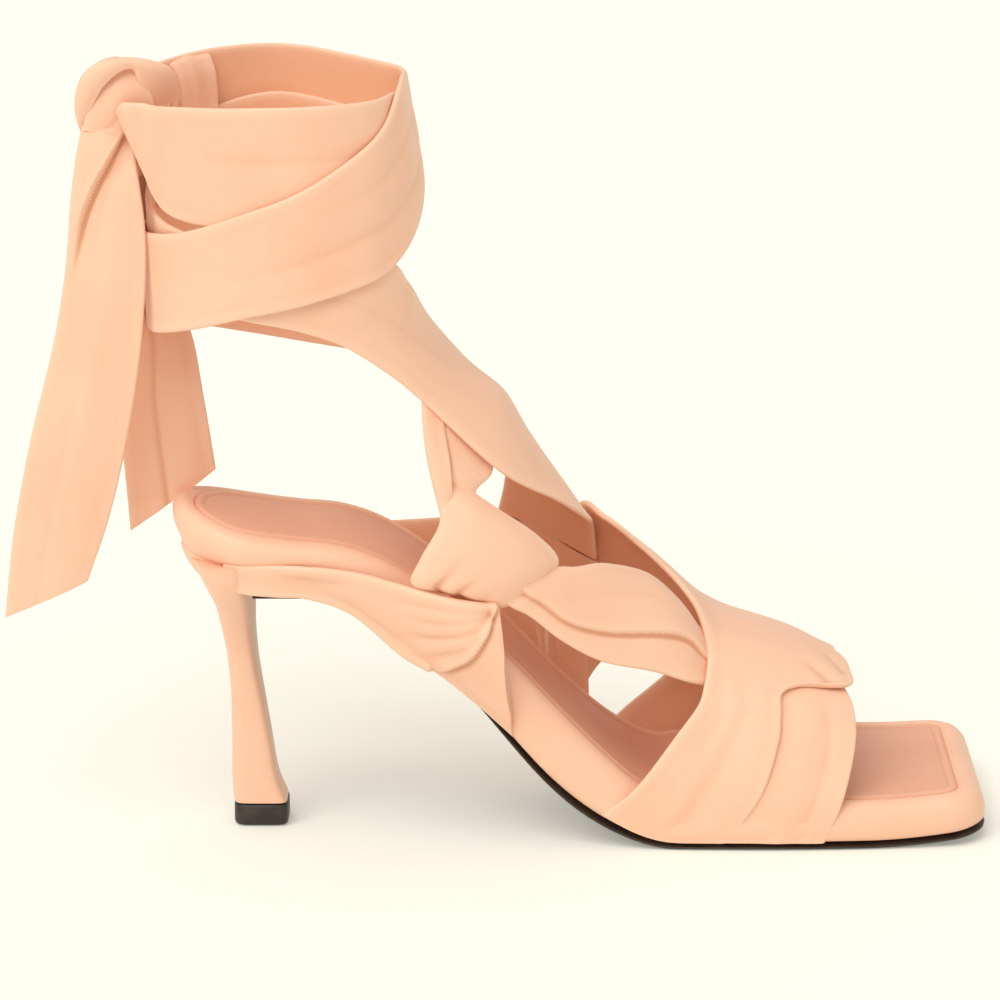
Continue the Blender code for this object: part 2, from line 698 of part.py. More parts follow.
def band_solid(name, rows, puffs, outside, collection, grow=0.0):
    """Strap of even wall on a grid of points. outside(point) points away from the foot."""
    grid = np.array(catmull(rows, BAND_STEPS))
    puff = np.array(catmull([[p] for p in puffs], BAND_STEPS))[:, 0] * FOLD_UNIT
    along = np.gradient(grid, axis=0)
    across = np.gradient(grid, axis=1)
    normal = np.cross(along, across)
    normal /= np.maximum(np.linalg.norm(normal, axis=2), 1e-12)[:, :, None]
    away = np.array([[outside(point) for point in row] for row in grid])
    if np.sum(normal * away) < 0:
        normal = -normal
    long, wide = grid.shape[:2]
    share = np.linspace(-1.0, 1.0, wide)
    crown = (1.0 - share**2)[None, :, None] * puff[:, None, None]
    outer = grid + normal * (STRAP_WALL + grow + crown)
    inner = grid - normal * grow
    points = list(outer.reshape(-1, 3)) + list(inner.reshape(-1, 3))
    total = long * wide
    faces = []
    for i in range(long - 1):
        for j in range(wide - 1):
            a, b = i * wide + j, i * wide + j + 1
            c, d = b + wide, a + wide
            faces.append((a, b, c, d))
            faces.append((a + total, d + total, c + total, b + total))
    for i in range(long - 1):
        a, b = i * wide, (i + 1) * wide
        faces.append((a, b, b + total, a + total))
        a, b = a + wide - 1, b + wide - 1
        faces.append((a, a + total, b + total, b))
    for j in range(wide - 1):
        a, b = j, j + 1
        faces.append((a, a + total, b + total, b))
        a, b = total - wide + j, total - wide + j + 1
        faces.append((a, b, b + total, a + total))
    item = mesh_object(name, points, faces, collection)
    face_outwards(item)
    return item


def face_outwards(item):
    """Turns every face round where the solid is inside out."""
    mesh = item.data
    mesh.calc_loop_triangles()
    volume = 0.0
    for triangle in mesh.loop_triangles:
        a, b, c = (np.array(mesh.vertices[k].co) for k in triangle.vertices)
        volume += float(np.dot(a, np.cross(b, c)))
    if volume < 0:
        mesh.flip_normals()


def from_foot(point):
    return point - np.array([point[0], SEAT_SIDE * 0.5, point[2] - FORM_DROP])


def from_leg(point):
    return point - np.array([ANKLE_X, SEAT_SIDE, point[2]])


def foot_band(name, rows, collection):
    grid = [surface_row(foot_point, row) for row in rows]
    return band_solid(name, grid, [row[5] for row in rows], from_foot, collection)


def flank_band(name, rows, side, collection):
    def form(along, up):
        return flank_point(along, up * FOLD_UNIT, side)

    grid = []
    for row in rows:
        line = []
        for j in range(BAND_ACROSS + 1):
            t = j / BAND_ACROSS
            point = form(row[0] + (row[2] - row[0]) * t, row[1] + (row[3] - row[1]) * t)
            point[1] += side * row[4] * FOLD_UNIT
            line.append(point)
        grid.append(line)

    def away(point):
        return np.array([0.0, side, 0.0])

    return band_solid(name, grid, [row[5] for row in rows], away, collection)


def leg_band(name, rows, collection, foot_rows=()):
    grid = [surface_row(foot_point, row) for row in foot_rows]
    grid += [surface_row(leg_point, row) for row in rows]
    puffs = [row[5] for row in foot_rows] + [row[5] for row in rows]
    return band_solid(name, grid, puffs, from_leg, collection)


def end_band(name, rows, cut, collection, grow=0.0):
    """One hanging end, folded a little along its middle. grow makes room for it in another strap."""
    grid = []
    for down, back, front, out, turn in rows:
        line = []
        for j in range(BAND_ACROSS + 1):
            t = j / BAND_ACROSS
            if grow:
                t = 1.1 * t - 0.05
            x = TIE_KNOT[0] + (back + (front - back) * t) * FOLD_UNIT
            fold = END_FOLD * math.sin(math.pi * min(max(t, 0.0), 1.0))
            y = TIE_KNOT[1] - fold - (out - (t - 0.5) * turn) * FOLD_UNIT
            # the cut runs up towards the front edge
            rise = cut * t * (down / rows[-1][0]) ** 3
            line.append(np.array([x, y, TIE_KNOT[2] - down * TIE_DROP + rise]))
        grid.append(line)
    return band_solid(
        name,
        grid,
        [0.0] * len(rows),
        lambda point: np.array([0.0, -1.0, 0.0]),
        collection,
        grow,
    )


def knot_body(name, centre, half, collection, rings=8, count=14):
    """Rounded lump of folded strap."""
    levels = []
    for i in range(1, rings):
        tilt = math.pi * i / rings - math.pi / 2
        levels.append([])
        for k in range(count):
            angle = 2 * math.pi * k / count
            c = math.cos(angle) * math.cos(tilt)
            s = math.sin(angle) * math.cos(tilt)
            z = math.sin(tilt)
            levels[-1].append(
                (
                    centre[0] + half[0] * c * (1.0 + 0.18 * z),
                    centre[1] + half[1] * s,
                    centre[2] + half[2] * z - 0.12 * half[2] * c,
                )
            )
    return lofted(name, levels, collection)


def join(base, others, operation="UNION"):
    """Unites closed solids into the first, or cuts them from it."""
    for other in others:
        other.hide_render = True
        other.display_type = "WIRE"
        step = base.modifiers.new("join_" + other.name, "BOOLEAN")
        step.operation = operation
        step.solver = "EXACT"
        step.object = other


def fill_pockets(item):
    """Makes the unions real and fills any pocket sealed between two crossing straps."""
    graph = bpy.context.evaluated_depsgraph_get()
    mesh = bpy.data.meshes.new_from_object(item.evaluated_get(graph))
    item.modifiers.clear()
    item.data = mesh
    work = bmesh.new()
    work.from_mesh(mesh)
    seen = set()
    for first in list(work.verts):
        if first in seen:
            continue
        shell, edge = {first}, [first]
        while edge:
            vertex = edge.pop()
            for link in vertex.link_edges:
                other = link.other_vert(vertex)
                if other not in shell:
                    shell.add(other)
                    edge.append(other)
        seen |= shell
        volume = 0.0
        for face in {face for vertex in shell for face in vertex.link_faces}:
            corners = [vertex.co for vertex in face.verts]
            for k in range(1, len(corners) - 1):
                volume += corners[0].dot(corners[k].cross(corners[k + 1]))
        if volume < 0:
            bmesh.ops.delete(work, geom=list(shell), context="VERTS")
    work.to_mesh(mesh)
    work.free()
    mesh.update()


def make_upper(collection, helpers):
    upper = foot_band("upper", VAMP_ROWS, collection)
    parts = [
        foot_band("toe_band", TOE_BAND_ROWS, helpers),
        foot_band("crossing_band", CROSSING_ROWS, helpers),
        foot_band("twisted_band", TWIST_ROWS, helpers),
        foot_band("inner_band", INNER_BAND_ROWS, helpers),
        flank_band("outer_wing", WING_ROWS, -1.0, helpers),
        flank_band("inner_wing", INNER_WING_ROWS, 1.0, helpers),
        leg_band("side_knot", SIDE_KNOT_ROWS, helpers),
    ]
    join(upper, parts)
    seats = [
        make_footbed(helpers, "footbed_seat", FIT_GAP),
        make_outsole(helpers, "outsole_seat", FIT_GAP),
    ]
    join(upper, seats, "DIFFERENCE")
    fill_pockets(upper)
    return upper


def make_ankle_tie(collection, helpers):
    tie = leg_band("ankle_tie", OUTER_TIE_ROWS, collection)
    join(tie, [leg_band("inner_tie", INNER_TIE_ROWS, helpers, INNER_TIE_FOOT_ROWS)])
    room = 1.3 * FIT_GAP
    seat = tuple(half + room for half in TIE_KNOT_HALF)
    seats = [
        knot_body("knot_seat", TIE_KNOT, seat, helpers),
        end_band("near_end_seat", NEAR_END_ROWS, NEAR_END_CUT, helpers, room),
        end_band("far_end_seat", FAR_END_ROWS, FAR_END_CUT, helpers, room),
    ]
    join(tie, seats, "DIFFERENCE")
    fill_pockets(tie)
    return tie


def make_tie_ends(collection, helpers):
    knot = knot_body("tie_ends", TIE_KNOT, TIE_KNOT_HALF, collection)
    join(
        knot,
        [
            end_band("near_end", NEAR_END_ROWS, NEAR_END_CUT, helpers),
            end_band("far_end", FAR_END_ROWS, FAR_END_CUT, helpers),
        ],
    )
    fill_pockets(knot)
    return knot


def paint(item, colour, roughness):
    material = bpy.data.materials.new(item.name)
    material.use_nodes = True
    shader = material.node_tree.nodes["Principled BSDF"]
    shader.inputs["Base Color"].default_value = (*colour, 1.0)
    shader.inputs["Roughness"].default_value = roughness
    item.data.materials.clear()
    item.data.materials.append(material)


def main():
    clear_scene()
    collection = bpy.data.collections.new("heeled_strap_sandal")
    helpers = bpy.data.collections.new("helpers")
    bpy.context.scene.collection.children.link(collection)
    bpy.context.scene.collection.children.link(helpers)
    leather, lining, black = (0.96, 0.56, 0.34), (0.80, 0.42, 0.27), (0.02, 0.016, 0.014)
    paint(make_outsole(collection), black, 0.55)
    paint(make_top_piece(collection), black, 0.6)
    paint(make_heel(collection, helpers), leather, 0.45)
    paint(make_footbed(collection), leather, 0.45)
    paint(make_sock(collection), lining, 0.6)
    paint(make_upper(collection, helpers), leather, 0.45)
    paint(make_ankle_tie(collection, helpers), leather, 0.45)
    paint(make_tie_ends(collection, helpers), leather, 0.45)


main()
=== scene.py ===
# Heeled strap sandal for the right foot. Metres, toe along +X, inner side of the foot +Y, up +Z.
import math

import bmesh
import bpy
import numpy as np
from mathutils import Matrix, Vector, noise


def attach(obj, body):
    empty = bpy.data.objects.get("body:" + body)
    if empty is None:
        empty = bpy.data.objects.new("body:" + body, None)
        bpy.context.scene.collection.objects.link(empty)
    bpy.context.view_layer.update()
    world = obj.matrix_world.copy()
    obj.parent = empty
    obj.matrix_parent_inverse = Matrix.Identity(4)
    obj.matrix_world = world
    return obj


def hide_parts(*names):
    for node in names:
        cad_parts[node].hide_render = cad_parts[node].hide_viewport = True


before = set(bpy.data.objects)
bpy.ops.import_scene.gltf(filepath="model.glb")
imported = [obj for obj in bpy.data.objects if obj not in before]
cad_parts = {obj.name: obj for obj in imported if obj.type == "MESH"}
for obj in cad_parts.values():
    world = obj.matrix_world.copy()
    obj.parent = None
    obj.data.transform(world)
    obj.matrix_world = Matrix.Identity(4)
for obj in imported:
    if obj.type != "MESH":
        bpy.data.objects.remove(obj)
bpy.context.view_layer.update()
bpy.ops.object.select_all(action="DESELECT")

mm = 0.001
shoe = {
    "length": 0.232,  # back of the seat to the toe end
    "ballWidth": 0.079,
    "heelRise": 0.074,  # floor to the sole's underside at the heel
    "treadFromBack": 0.169,
    "seatSide": -0.012,  # the heel's axis, to the outer side of the tread
    "seatFlatEnd": -0.128,
    "waistEnd": -0.024,
    "springStart": 0.03,
    "toeSpring": 0.0036,
    "heelRound": 0.025,
    "toeRound": 0.011,
    "gap": 0.0003,
    "soleWall": 0.002,
    "bedThickness": 0.0115,
    "seatBlock": 0.008,
    "blockStart": -0.137,
    "blockEnd": -0.11,
    "seamInset": 0.0068,
    # the bed's side is tucked in near its underside: share of its thickness, share of the inset
    "sideTuck": [(0.0, 0.4), (0.12, 0.1), (0.42, 0.0)],
    # along, near edge, far edge, share of the bed's thickness
    "plan": [
        (0.0, -0.48, 0.165, 2.15),
        (0.035, -0.488, 0.168, 1.8),
        (0.1, -0.494, 0.17, 1.42),
        (0.18, -0.494, 0.176, 1.22),
        (0.29, -0.474, 0.172, 1.14),
        (0.405, -0.45, 0.164, 1.1),
        (0.47, -0.456, 0.196, 1.08),
        (0.535, -0.478, 0.278, 1.04),
        (0.6, -0.496, 0.366, 1.0),
        (0.665, -0.506, 0.436, 0.98),
        (0.73, -0.508, 0.476, 0.98),
        (0.795, -0.504, 0.494, 0.98),
        (0.86, -0.494, 0.498, 0.97),
        (0.93, -0.474, 0.486, 0.95),
        (1.0, -0.448, 0.46, 0.9),
    ],
}
shoe["back"] = -shoe["treadFromBack"]
shoe["toe"] = shoe["length"] - shoe["treadFromBack"]

foot = {  # the foot that the straps lie on
    "instepHeight": 0.086,
    "square": 2.4,
    "blend": 0.024,  # over which a strap leaves the side of the bed
    # along, ridge, near half, far half, top
    "rows": [
        (0.147, -0.152, 0.38, 0.367, 2.32),
        (0.276, -0.152, 0.392, 0.38, 2.09),
        (0.405, -0.127, 0.43, 0.418, 1.46),
        (0.461, -0.101, 0.418, 0.45, 1.215),
        (0.534, -0.063, 0.43, 0.485, 0.955),
        (0.599, -0.025, 0.45, 0.52, 0.825),
        (0.664, 0.0, 0.468, 0.535, 0.66),
        (0.728, 0.013, 0.485, 0.54, 0.602),
        (0.793, 0.025, 0.5, 0.53, 0.542),
        (0.858, 0.025, 0.5, 0.515, 0.46),
    ],
}

leg = {  # the leg that the ties go round
    "height": 0.15,
    "x": -0.134,
    "radius": 0.037,
    # up, back, front, side, how blunt the front is
    "rows": [
        (0.5, 0.92, 2.7, 0.84, 0.0),
        (0.6, 0.92, 2.38, 0.865, 0.0),
        (0.733, 0.95, 1.89, 0.89, 0.03),
        (0.88, 0.97, 1.54, 0.92, 0.11),
        (1.0, 1.0, 1.24, 0.945, 0.205),
        (1.13, 1.03, 1.08, 0.973, 0.165),
        (1.247, 1.05, 1.05, 0.973, 0.135),
        (1.48, 1.08, 1.0, 0.973, 0.24),
    ],
}


def smoothStep(value):
    value = min(max(value, 0.0), 1.0)
    return value * value * (3.0 - 2.0 * value)


def tableValue(rows, key, column):  # smooth value from a table, with no overshoot
    xs = [row[0] for row in rows]
    ys = [row[column] for row in rows]
    if key <= xs[0]:
        return ys[0]
    if key >= xs[-1]:
        return ys[-1]
    i = max(k for k in range(len(xs) - 1) if xs[k] <= key)
    slope = [(ys[k + 1] - ys[k]) / (xs[k + 1] - xs[k]) for k in range(len(xs) - 1)]

    def tangent(k):
        if k == 0:
            return slope[0]
        if k == len(xs) - 1:
            return slope[-1]
        if slope[k - 1] * slope[k] <= 0.0:
            return 0.0
        return 2.0 * slope[k - 1] * slope[k] / (slope[k - 1] + slope[k])

    width = xs[i + 1] - xs[i]
    t = (key - xs[i]) / width
    t2, t3 = t * t, t * t * t
    start = (2 * t3 - 3 * t2 + 1) * ys[i] + (t3 - 2 * t2 + t) * width * tangent(i)
    return start + (3 * t2 - 2 * t3) * ys[i + 1] + (t3 - t2) * width * tangent(i + 1)


def alongX(share):
    return share * shoe["length"] - shoe["treadFromBack"]


def soleHeight(x):  # the outsole's underside over the floor
    waist = 1.0 - smoothStep((x - shoe["seatFlatEnd"]) / (shoe["waistEnd"] - shoe["seatFlatEnd"]))
    spring = max(0.0, (x - shoe["springStart"]) / (shoe["toe"] - shoe["springStart"])) ** 2
    return shoe["heelRise"] * waist + shoe["toeSpring"] * spring


def soleNormal(x):
    rise = (soleHeight(x + 0.0005) - soleHeight(x - 0.0005)) / 0.001
    length = math.hypot(1.0, rise)
    return -rise / length, 1.0 / length


def seatBlock(x):
    share = (x - shoe["blockStart"]) / (shoe["blockEnd"] - shoe["blockStart"])
    return shoe["seatBlock"] * (1.0 - smoothStep(share))


def bedThickness(x):
    share = (x + shoe["treadFromBack"]) / shoe["length"]
    return shoe["bedThickness"] * tableValue(shoe["plan"], share, 3) - seatBlock(x)


def overSole(x, y, rise):  # a point at this height over the sole, square to it
    nx, nz = soleNormal(x)
    return (x + nx * rise, y, soleHeight(x) + nz * rise)


def bedSide(x, rise):  # how far the bed's side is tucked in at this height over its underside
    shares, tucks = zip(*shoe["sideTuck"])
    return float(np.interp(rise / bedThickness(x), shares, tucks)) * shoe["seamInset"]


def formSide(along, z, side):
    x = alongX(along)
    ridge = shoe["ballWidth"] * tableValue(foot["rows"], along, 1)
    edge = shoe["ballWidth"] * tableValue(shoe["plan"], along, 1 if side < 0 else 2)
    low = soleHeight(x) + shoe["soleWall"] + shoe["gap"]
    base = abs(edge - ridge) + shoe["gap"] - bedSide(x, z - low - seatBlock(x))
    full = shoe["ballWidth"] * tableValue(foot["rows"], along, 2 if side < 0 else 3)
    return ridge, base + (full - base) * smoothStep((z - low) / foot["blend"])


def footPoint(along, around):
    x = alongX(along)
    angle = around * math.pi / 2
    low = soleHeight(x) + shoe["soleWall"] + shoe["gap"]
    high = foot["instepHeight"] * tableValue(foot["rows"], along, 4)
    power = 2.0 / foot["square"]
    z = low + (high - low) * abs(math.cos(angle)) ** power
    ridge, reach = formSide(along, z, -1.0 if around < 0 else 1.0)
    return np.array([x, ridge + reach * math.copysign(abs(math.sin(angle)) ** power, around), z])


def flankPoint(along, up, side):
    x = alongX(along)
    low = soleHeight(x)
    high = foot["instepHeight"] * tableValue(foot["rows"], along, 4)
    rise = min(max((up - shoe["soleWall"]) / (high - low), 0.0), 1.0)
    ridge, reach = formSide(along, low + up, side)
    y = ridge + side * reach * (1.0 - rise ** foot["square"]) ** (1.0 / foot["square"])
    return np.array([x, y, low + up])


def legPoint(turn, up):
    angle = math.radians(turn)
    c, s = math.cos(angle), math.sin(angle)
    back, front, side = (leg["radius"] * tableValue(leg["rows"], up, k) for k in (1, 2, 3))
    front *= 1.0 - tableValue(leg["rows"], up, 4) * max(c, 0.0) ** 3
    blend = smoothStep(0.5 + 1.5 * c)
    x = leg["x"] + c * (front * blend + back * (1.0 - blend))
    return np.array([x, shoe["seatSide"] + side * s, up * leg["height"]])


def nearFlank(along, up):
    return flankPoint(along, up * mm, -1.0)


def farFlank(along, up):
    return flankPoint(along, up * mm, 1.0)


def outwards(form, point):  # away from the foot or the leg
    if form is nearFlank or form is farFlank:
        return np.array([0.0, -1.0 if form is nearFlank else 1.0, 0.0])
    if form is legPoint:
        return point - np.array([leg["x"], shoe["seatSide"], point[2]])
    return point - np.array([point[0], shoe["seatSide"] * 0.5, point[2] - 0.02])


# A strap's rows run along it. On the foot each holds its back edge (along, around) and its front
# edge (along, around): along is a share of the length, and around goes from -1 at the outer edge of
# the sole over 0 on the ridge to 1 at the inner edge. Then come the lift of both edges and the puff
# of the middle, in millimetres, where they aren't 0. On the leg an edge is (turn in degrees, up),
# with 0 at the front, and on the flank it is (along, millimetres over the sole's edge).
rowLength = 7
acrossCount = 9  # points across a strap before it is made denser


def layRow(form, row):  # one row of a strap, laid on its form
    points = []
    for t in np.linspace(0.0, 1.0, acrossCount):
        u, w = row[0] + (row[2] - row[0]) * t, row[1] + (row[3] - row[1]) * t
        point = form(u, w)
        lift = (row[4] + (row[5] - row[4]) * t) * mm
        if form is nearFlank or form is farFlank:
            points.append(point + outwards(form, point) * lift)
            continue
        step = 0.1 if form is legPoint else 0.001
        top = w + 0.001 if form is legPoint else min(w + 0.001, 0.9995)
        du = form(u + step, w) - form(u - step, w)
        dw = form(u, top) - form(u, w - 0.001)
        normal = unit(np.cross(du, dw))
        if np.dot(normal, outwards(form, point)) < 0:
            normal = -normal
        points.append(point + normal * lift)
    return points


def unit(vectors):
    return vectors / np.maximum(np.linalg.norm(vectors, axis=-1, keepdims=True), 1e-12)


def smoothRows(rows, steps):  # denser rows on smooth curves through the given ones
    rows = np.asarray(rows, float)
    before = np.concatenate([2 * rows[:1] - rows[1:2], rows[:-1]])
    after = np.concatenate([rows[1:], 2 * rows[-1:] - rows[-2:-1]])
    out = []
    for i in range(len(rows) - 1):
        a, b, c, d = before[i], rows[i], rows[i + 1], after[i + 1]
        for s in range(steps):
            t = s / steps
            out.append(
                0.5 * (2 * b + (c - a) * t + (2 * a - 5 * b + 4 * c - d) * t**2
                + (3 * b - a - 3 * c + d) * t**3)
            )
    out.append(rows[-1])
    return np.array(out)


def choose(*pieces):  # only these are selected, and the last one is active
    bpy.ops.object.select_all(action="DESELECT")
    for piece in pieces:
        piece.select_set(True)
    bpy.context.view_layer.objects.active = pieces[-1]


def freshPiece(name, columns, rows):  # a flat grid, later carried to its place
    bpy.ops.object.select_all(action="DESELECT")
    bpy.ops.mesh.primitive_grid_add(x_subdivisions=columns, y_subdivisions=rows, size=2)
    piece = bpy.context.object
    piece.name = piece.data.name = name
    return piece


def placeGrid(piece, points):  # points: rows by columns by 3
    piece.data.vertices.foreach_set("co", np.asarray(points, np.float32).ravel())
    piece.data.update()


def measuredMap(piece, points):  # the piece's own map in metres, so that grain keeps its size
    across = np.linalg.norm(np.diff(points, axis=1), axis=2).mean(axis=0)
    along = np.linalg.norm(np.diff(points, axis=0), axis=2).mean(axis=1)
    u = np.concatenate([[0.0], np.cumsum(across)])
    v = np.concatenate([[0.0], np.cumsum(along)])
    columns = points.shape[1]
    layer = piece.data.uv_layers[0].data
    corners = np.empty(len(piece.data.loops), np.int32)
    piece.data.loops.foreach_get("vertex_index", corners)
    flat = np.stack([u[corners % columns], v[corners // columns]], axis=1)
    layer.foreach_set("uv", flat.astype(np.float32).ravel())


def markAll(piece, fold=None, rim=None, lining=None):  # numbers at each point, for the materials
    for name, values in (("fold", fold), ("rim", rim), ("lining", lining)):
        if values is None:
            values = np.zeros(len(piece.data.vertices))
        layer = piece.data.attributes.new(name, "FLOAT", "POINT")
        layer.data.foreach_set("value", np.asarray(values, np.float32).ravel())


def turnFacesOut(piece):
    choose(piece)
    bpy.ops.object.mode_set(mode="EDIT")
    bpy.ops.mesh.select_all(action="SELECT")
    bpy.ops.mesh.normals_make_consistent(inside=False)
    bpy.ops.object.mode_set(mode="OBJECT")


def closeTube(piece, ringCount, acrossStrips=False):  # merges the seam and closes both ends
    choose(piece)
    bpy.ops.object.mode_set(mode="EDIT")
    if acrossStrips:  # the second half of each ring runs back along the first
        work = bmesh.from_edit_mesh(piece.data)
        work.verts.ensure_lookup_table()
        for start in (0, len(work.verts) - ringCount - 1):
            for k in range(ringCount // 2 - 1):
                a, b = start + k, start + ringCount - 1 - k
                work.faces.new([work.verts[i] for i in (a, a + 1, b - 1, b)])
        bmesh.update_edit_mesh(piece.data)
    bpy.ops.mesh.select_all(action="SELECT")
    bpy.ops.mesh.remove_doubles(threshold=1e-7)
    if not acrossStrips:
        bpy.ops.mesh.select_all(action="DESELECT")
        bpy.ops.mesh.select_non_manifold()
        bpy.ops.mesh.fill_holes(sides=0)
    bpy.ops.object.mode_set(mode="OBJECT")
    turnFacesOut(piece)


def tube(name, rings):  # a closed solid from rings with the same count of points
    rings = np.asarray(rings, float)
    stations, count = rings.shape[:2]
    piece = freshPiece(name, count, stations - 1)
    looped = np.concatenate([rings, rings[:, :1]], axis=1)
    placeGrid(piece, looped)
    measuredMap(piece, looped)
    return piece


def smooth(piece, angle=60):
    choose(piece)
    bpy.ops.object.shade_smooth_by_angle(angle=math.radians(angle))


def dress(piece, node, material):  # finish, body and the solid it stands for
    piece.data.materials.clear()
    piece.data.materials.append(material)
    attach(piece, "root")
    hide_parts(node)


def smoothArray(value):
    value = np.clip(value, 0.0, 1.0)
    return value * value * (3.0 - 2.0 * value)


def hump(value, middle, width):
    return np.exp(-(((value - middle) / width) ** 2))


def soften(values, times):  # evens a grid out between neighbours
    for _ in range(times):
        values[1:-1] = (values[:-2] + values[1:-1] + values[2:]) / 3
        values[:, 1:-1] = (values[:, :-2] + values[:, 1:-1] + values[:, 2:]) / 3
    return values


# A fold is (kind, mm high, mm wide, fade at its first row, at its last, [(row, across), ...]).
# crease: a valley. ridge: a soft roll. lap: one layer over another, raised past the line, or before
# it where the width is negative.
lapStep = {"rise": 0.9, "dip": 0.22, "dipBefore": 0.7, "dipWide": 0.6}  # mm, the dip as a share


def foldShape(kind, s, reach):  # s: millimetres past the fold's line
    if kind == "crease":
        return -np.exp(-np.abs(s / reach) ** 1.5)
    if kind == "ridge":
        return hump(s, 0.0, reach)
    rise = smoothArray((s + lapStep["rise"] / 2) / lapStep["rise"])
    layer = rise * np.exp(-np.maximum(s, 0) / reach)
    return layer - lapStep["dip"] * hump(s, -lapStep["dipBefore"], lapStep["dipWide"])


def foldHeight(folds, rowAt, metre):
    height = np.zeros(rowAt.shape)
    spots = metre.reshape(-1, 2)
    for kind, high, wide, fadeIn, fadeOut, path in folds:
        keys = np.array([p[0] for p in path], float)
        dense = np.linspace(keys.min(), keys.max(), 60)
        line = smoothLine(keys, np.array([p[1] for p in path], float), dense)
        curve = measuredLine(dense, line, rowAt, metre)
        starts, runs = curve[:-1], np.diff(curve, axis=0)
        size = np.maximum((runs**2).sum(axis=1), 1e-12)
        gap = spots[:, None, :] - starts[None]
        t = np.clip((gap * runs).sum(axis=2) / size, 0, 1)
        off = gap - t[:, :, None] * runs
        away = np.sqrt((off**2).sum(axis=2))
        nearest = np.argmin(away, axis=1)
        rows = np.arange(len(spots))
        side = runs[nearest, 0] * off[rows, nearest, 1] - runs[nearest, 1] * off[rows, nearest, 0]
        s = (away[rows, nearest] * np.sign(side)).reshape(rowAt.shape)
        at = (dense[nearest] + t[rows, nearest] * (dense[1] - dense[0])).reshape(rowAt.shape)
        fade = np.ones(rowAt.shape)
        if fadeIn > 0:
            fade = fade * smoothArray((at - keys.min()) / fadeIn)
        if fadeOut > 0:
            fade = fade * smoothArray((keys.max() - at) / fadeOut)
        height += high * foldShape(kind, math.copysign(1.0, wide) * s, abs(wide)) * fade
    return height


def measuredLine(rows, across, rowAt, metre):  # a fold's points in flat millimetres
    long, wide = rowAt.shape
    i = np.clip(rows / rowAt[-1, 0] * (long - 1), 0, long - 1.0001)
    j = across * (wide - 1)
    low = np.clip(j.astype(int), 0, wide - 2)
    down = i.astype(int)
    points = np.zeros((len(rows), 2))
    for a, wa in ((0, 1 - (i - down)), (1, i - down)):
        for b, wb in ((0, 1 - (j - low)), (1, j - low)):
            points += metre[down + a, low + b] * (wa * wb)[:, None]
    return points


def smoothLine(keys, values, at):  # smooth curve through a fold's points
    order = np.argsort(keys)
    keys, values = keys[order], values[order]
    if len(keys) < 3:
        return np.interp(at, keys, values)
    dense = np.linspace(keys[0], keys[-1], 200)
    rows = list(zip(keys.tolist(), values.tolist()))
    curve = np.array([tableValue(rows, float(key), 1) for key in dense])
    return np.interp(at, dense, curve)


# what the straps share: wall, unevenness and the turned edge's roll in mm, points across, steps
# from row to row, and how far the lining follows the puff and the folds
band = {
    "wall": 1.7,
    "across": 64,
    "steps": 14,
    "soft": 0.2,
    "turned": 0.03,
    "hollow": 0.0,
    "insideFolds": 0.0,
    "firstRows": [],
    "folds": [],
}
turnedEdge = {"roll": (1.3, 0.8), "groove": (3.1, 0.7)}  # mm from the edge, mm wide
unevenScale = 55.0
shadeGain = 3.0  # how strongly a fold's height darkens or lightens it, as painted shade in the creases and painted highlight on the ridges
edgeHighlightWidth = 1.2  # mm from an edge, over which the painted edge highlight fades
outwardReach = 0.05
rimTurns = (36, 72, 108, 144)  # degrees round an edge
liningStep = 4  # the lining has every fourth point of the outer face


def denser(points, look):  # smooth curves along the strap, then across it
    points = smoothRows(points, look["steps"]).transpose(1, 0, 2)
    return smoothRows(points, look["across"] // (acrossCount - 1)).transpose(1, 0, 2)


def strapHeight(name, base, rowCount, look):  # folds, rolled edges and a soft unevenness, in mm
    long, wide = base.shape[:2]
    rowAt = np.repeat(np.linspace(0, rowCount - 1, long)[:, None], wide, axis=1)
    acrossAt = np.repeat(np.linspace(0, 1, wide)[None, :], long, axis=0)
    width = np.linalg.norm(np.diff(base, axis=1), axis=2).sum(axis=1)[:, None] * 1000
    run = np.linalg.norm(np.diff(base, axis=0), axis=2).mean(axis=1) * 1000
    length = np.repeat(np.concatenate([[0.0], np.cumsum(run)])[:, None], wide, axis=1)
    metre = np.stack([length, (acrossAt - 0.5) * width], axis=2)
    height = foldHeight(look["folds"], rowAt, metre)
    edge = np.minimum(acrossAt, 1 - acrossAt) * width  # millimetres from the nearer edge
    roll, groove = (look["turned"] * hump(edge, *turnedEdge[part]) for part in ("roll", "groove"))
    height += roll - groove
    seed = Vector((sum(ord(letter) for letter in name), 0, 0))
    wave = [[noise.noise(Vector(p * unevenScale) + seed) for p in row[::4]] for row in base[::2]]
    wave = np.repeat(np.repeat(np.array(wave), 2, axis=0)[:long], 4, axis=1)[:, :wide]
    height += soften(wave, 3) * look["soft"]
    return height, acrossAt, edge


def rimArc(face, lining, normal, side):  # points round one edge of the wall
    tip, root = face[:, side], lining[:, side]
    out = tip - face[:, -3 if side == -1 else 2]
    out = unit(out - (out * normal[:, side]).sum(axis=1)[:, None] * normal[:, side])
    middle = (tip + root) / 2
    half = np.linalg.norm(tip - root, axis=1)[:, None] / 2
    lift = (tip - root) / np.maximum(2 * half, 1e-9)
    turns = [math.radians(a) for a in rimTurns]
    arc = [middle + half * (math.cos(a) * lift + math.sin(a) * out) for a in turns]
    return np.stack(arc if side == -1 else arc[::-1], axis=1)


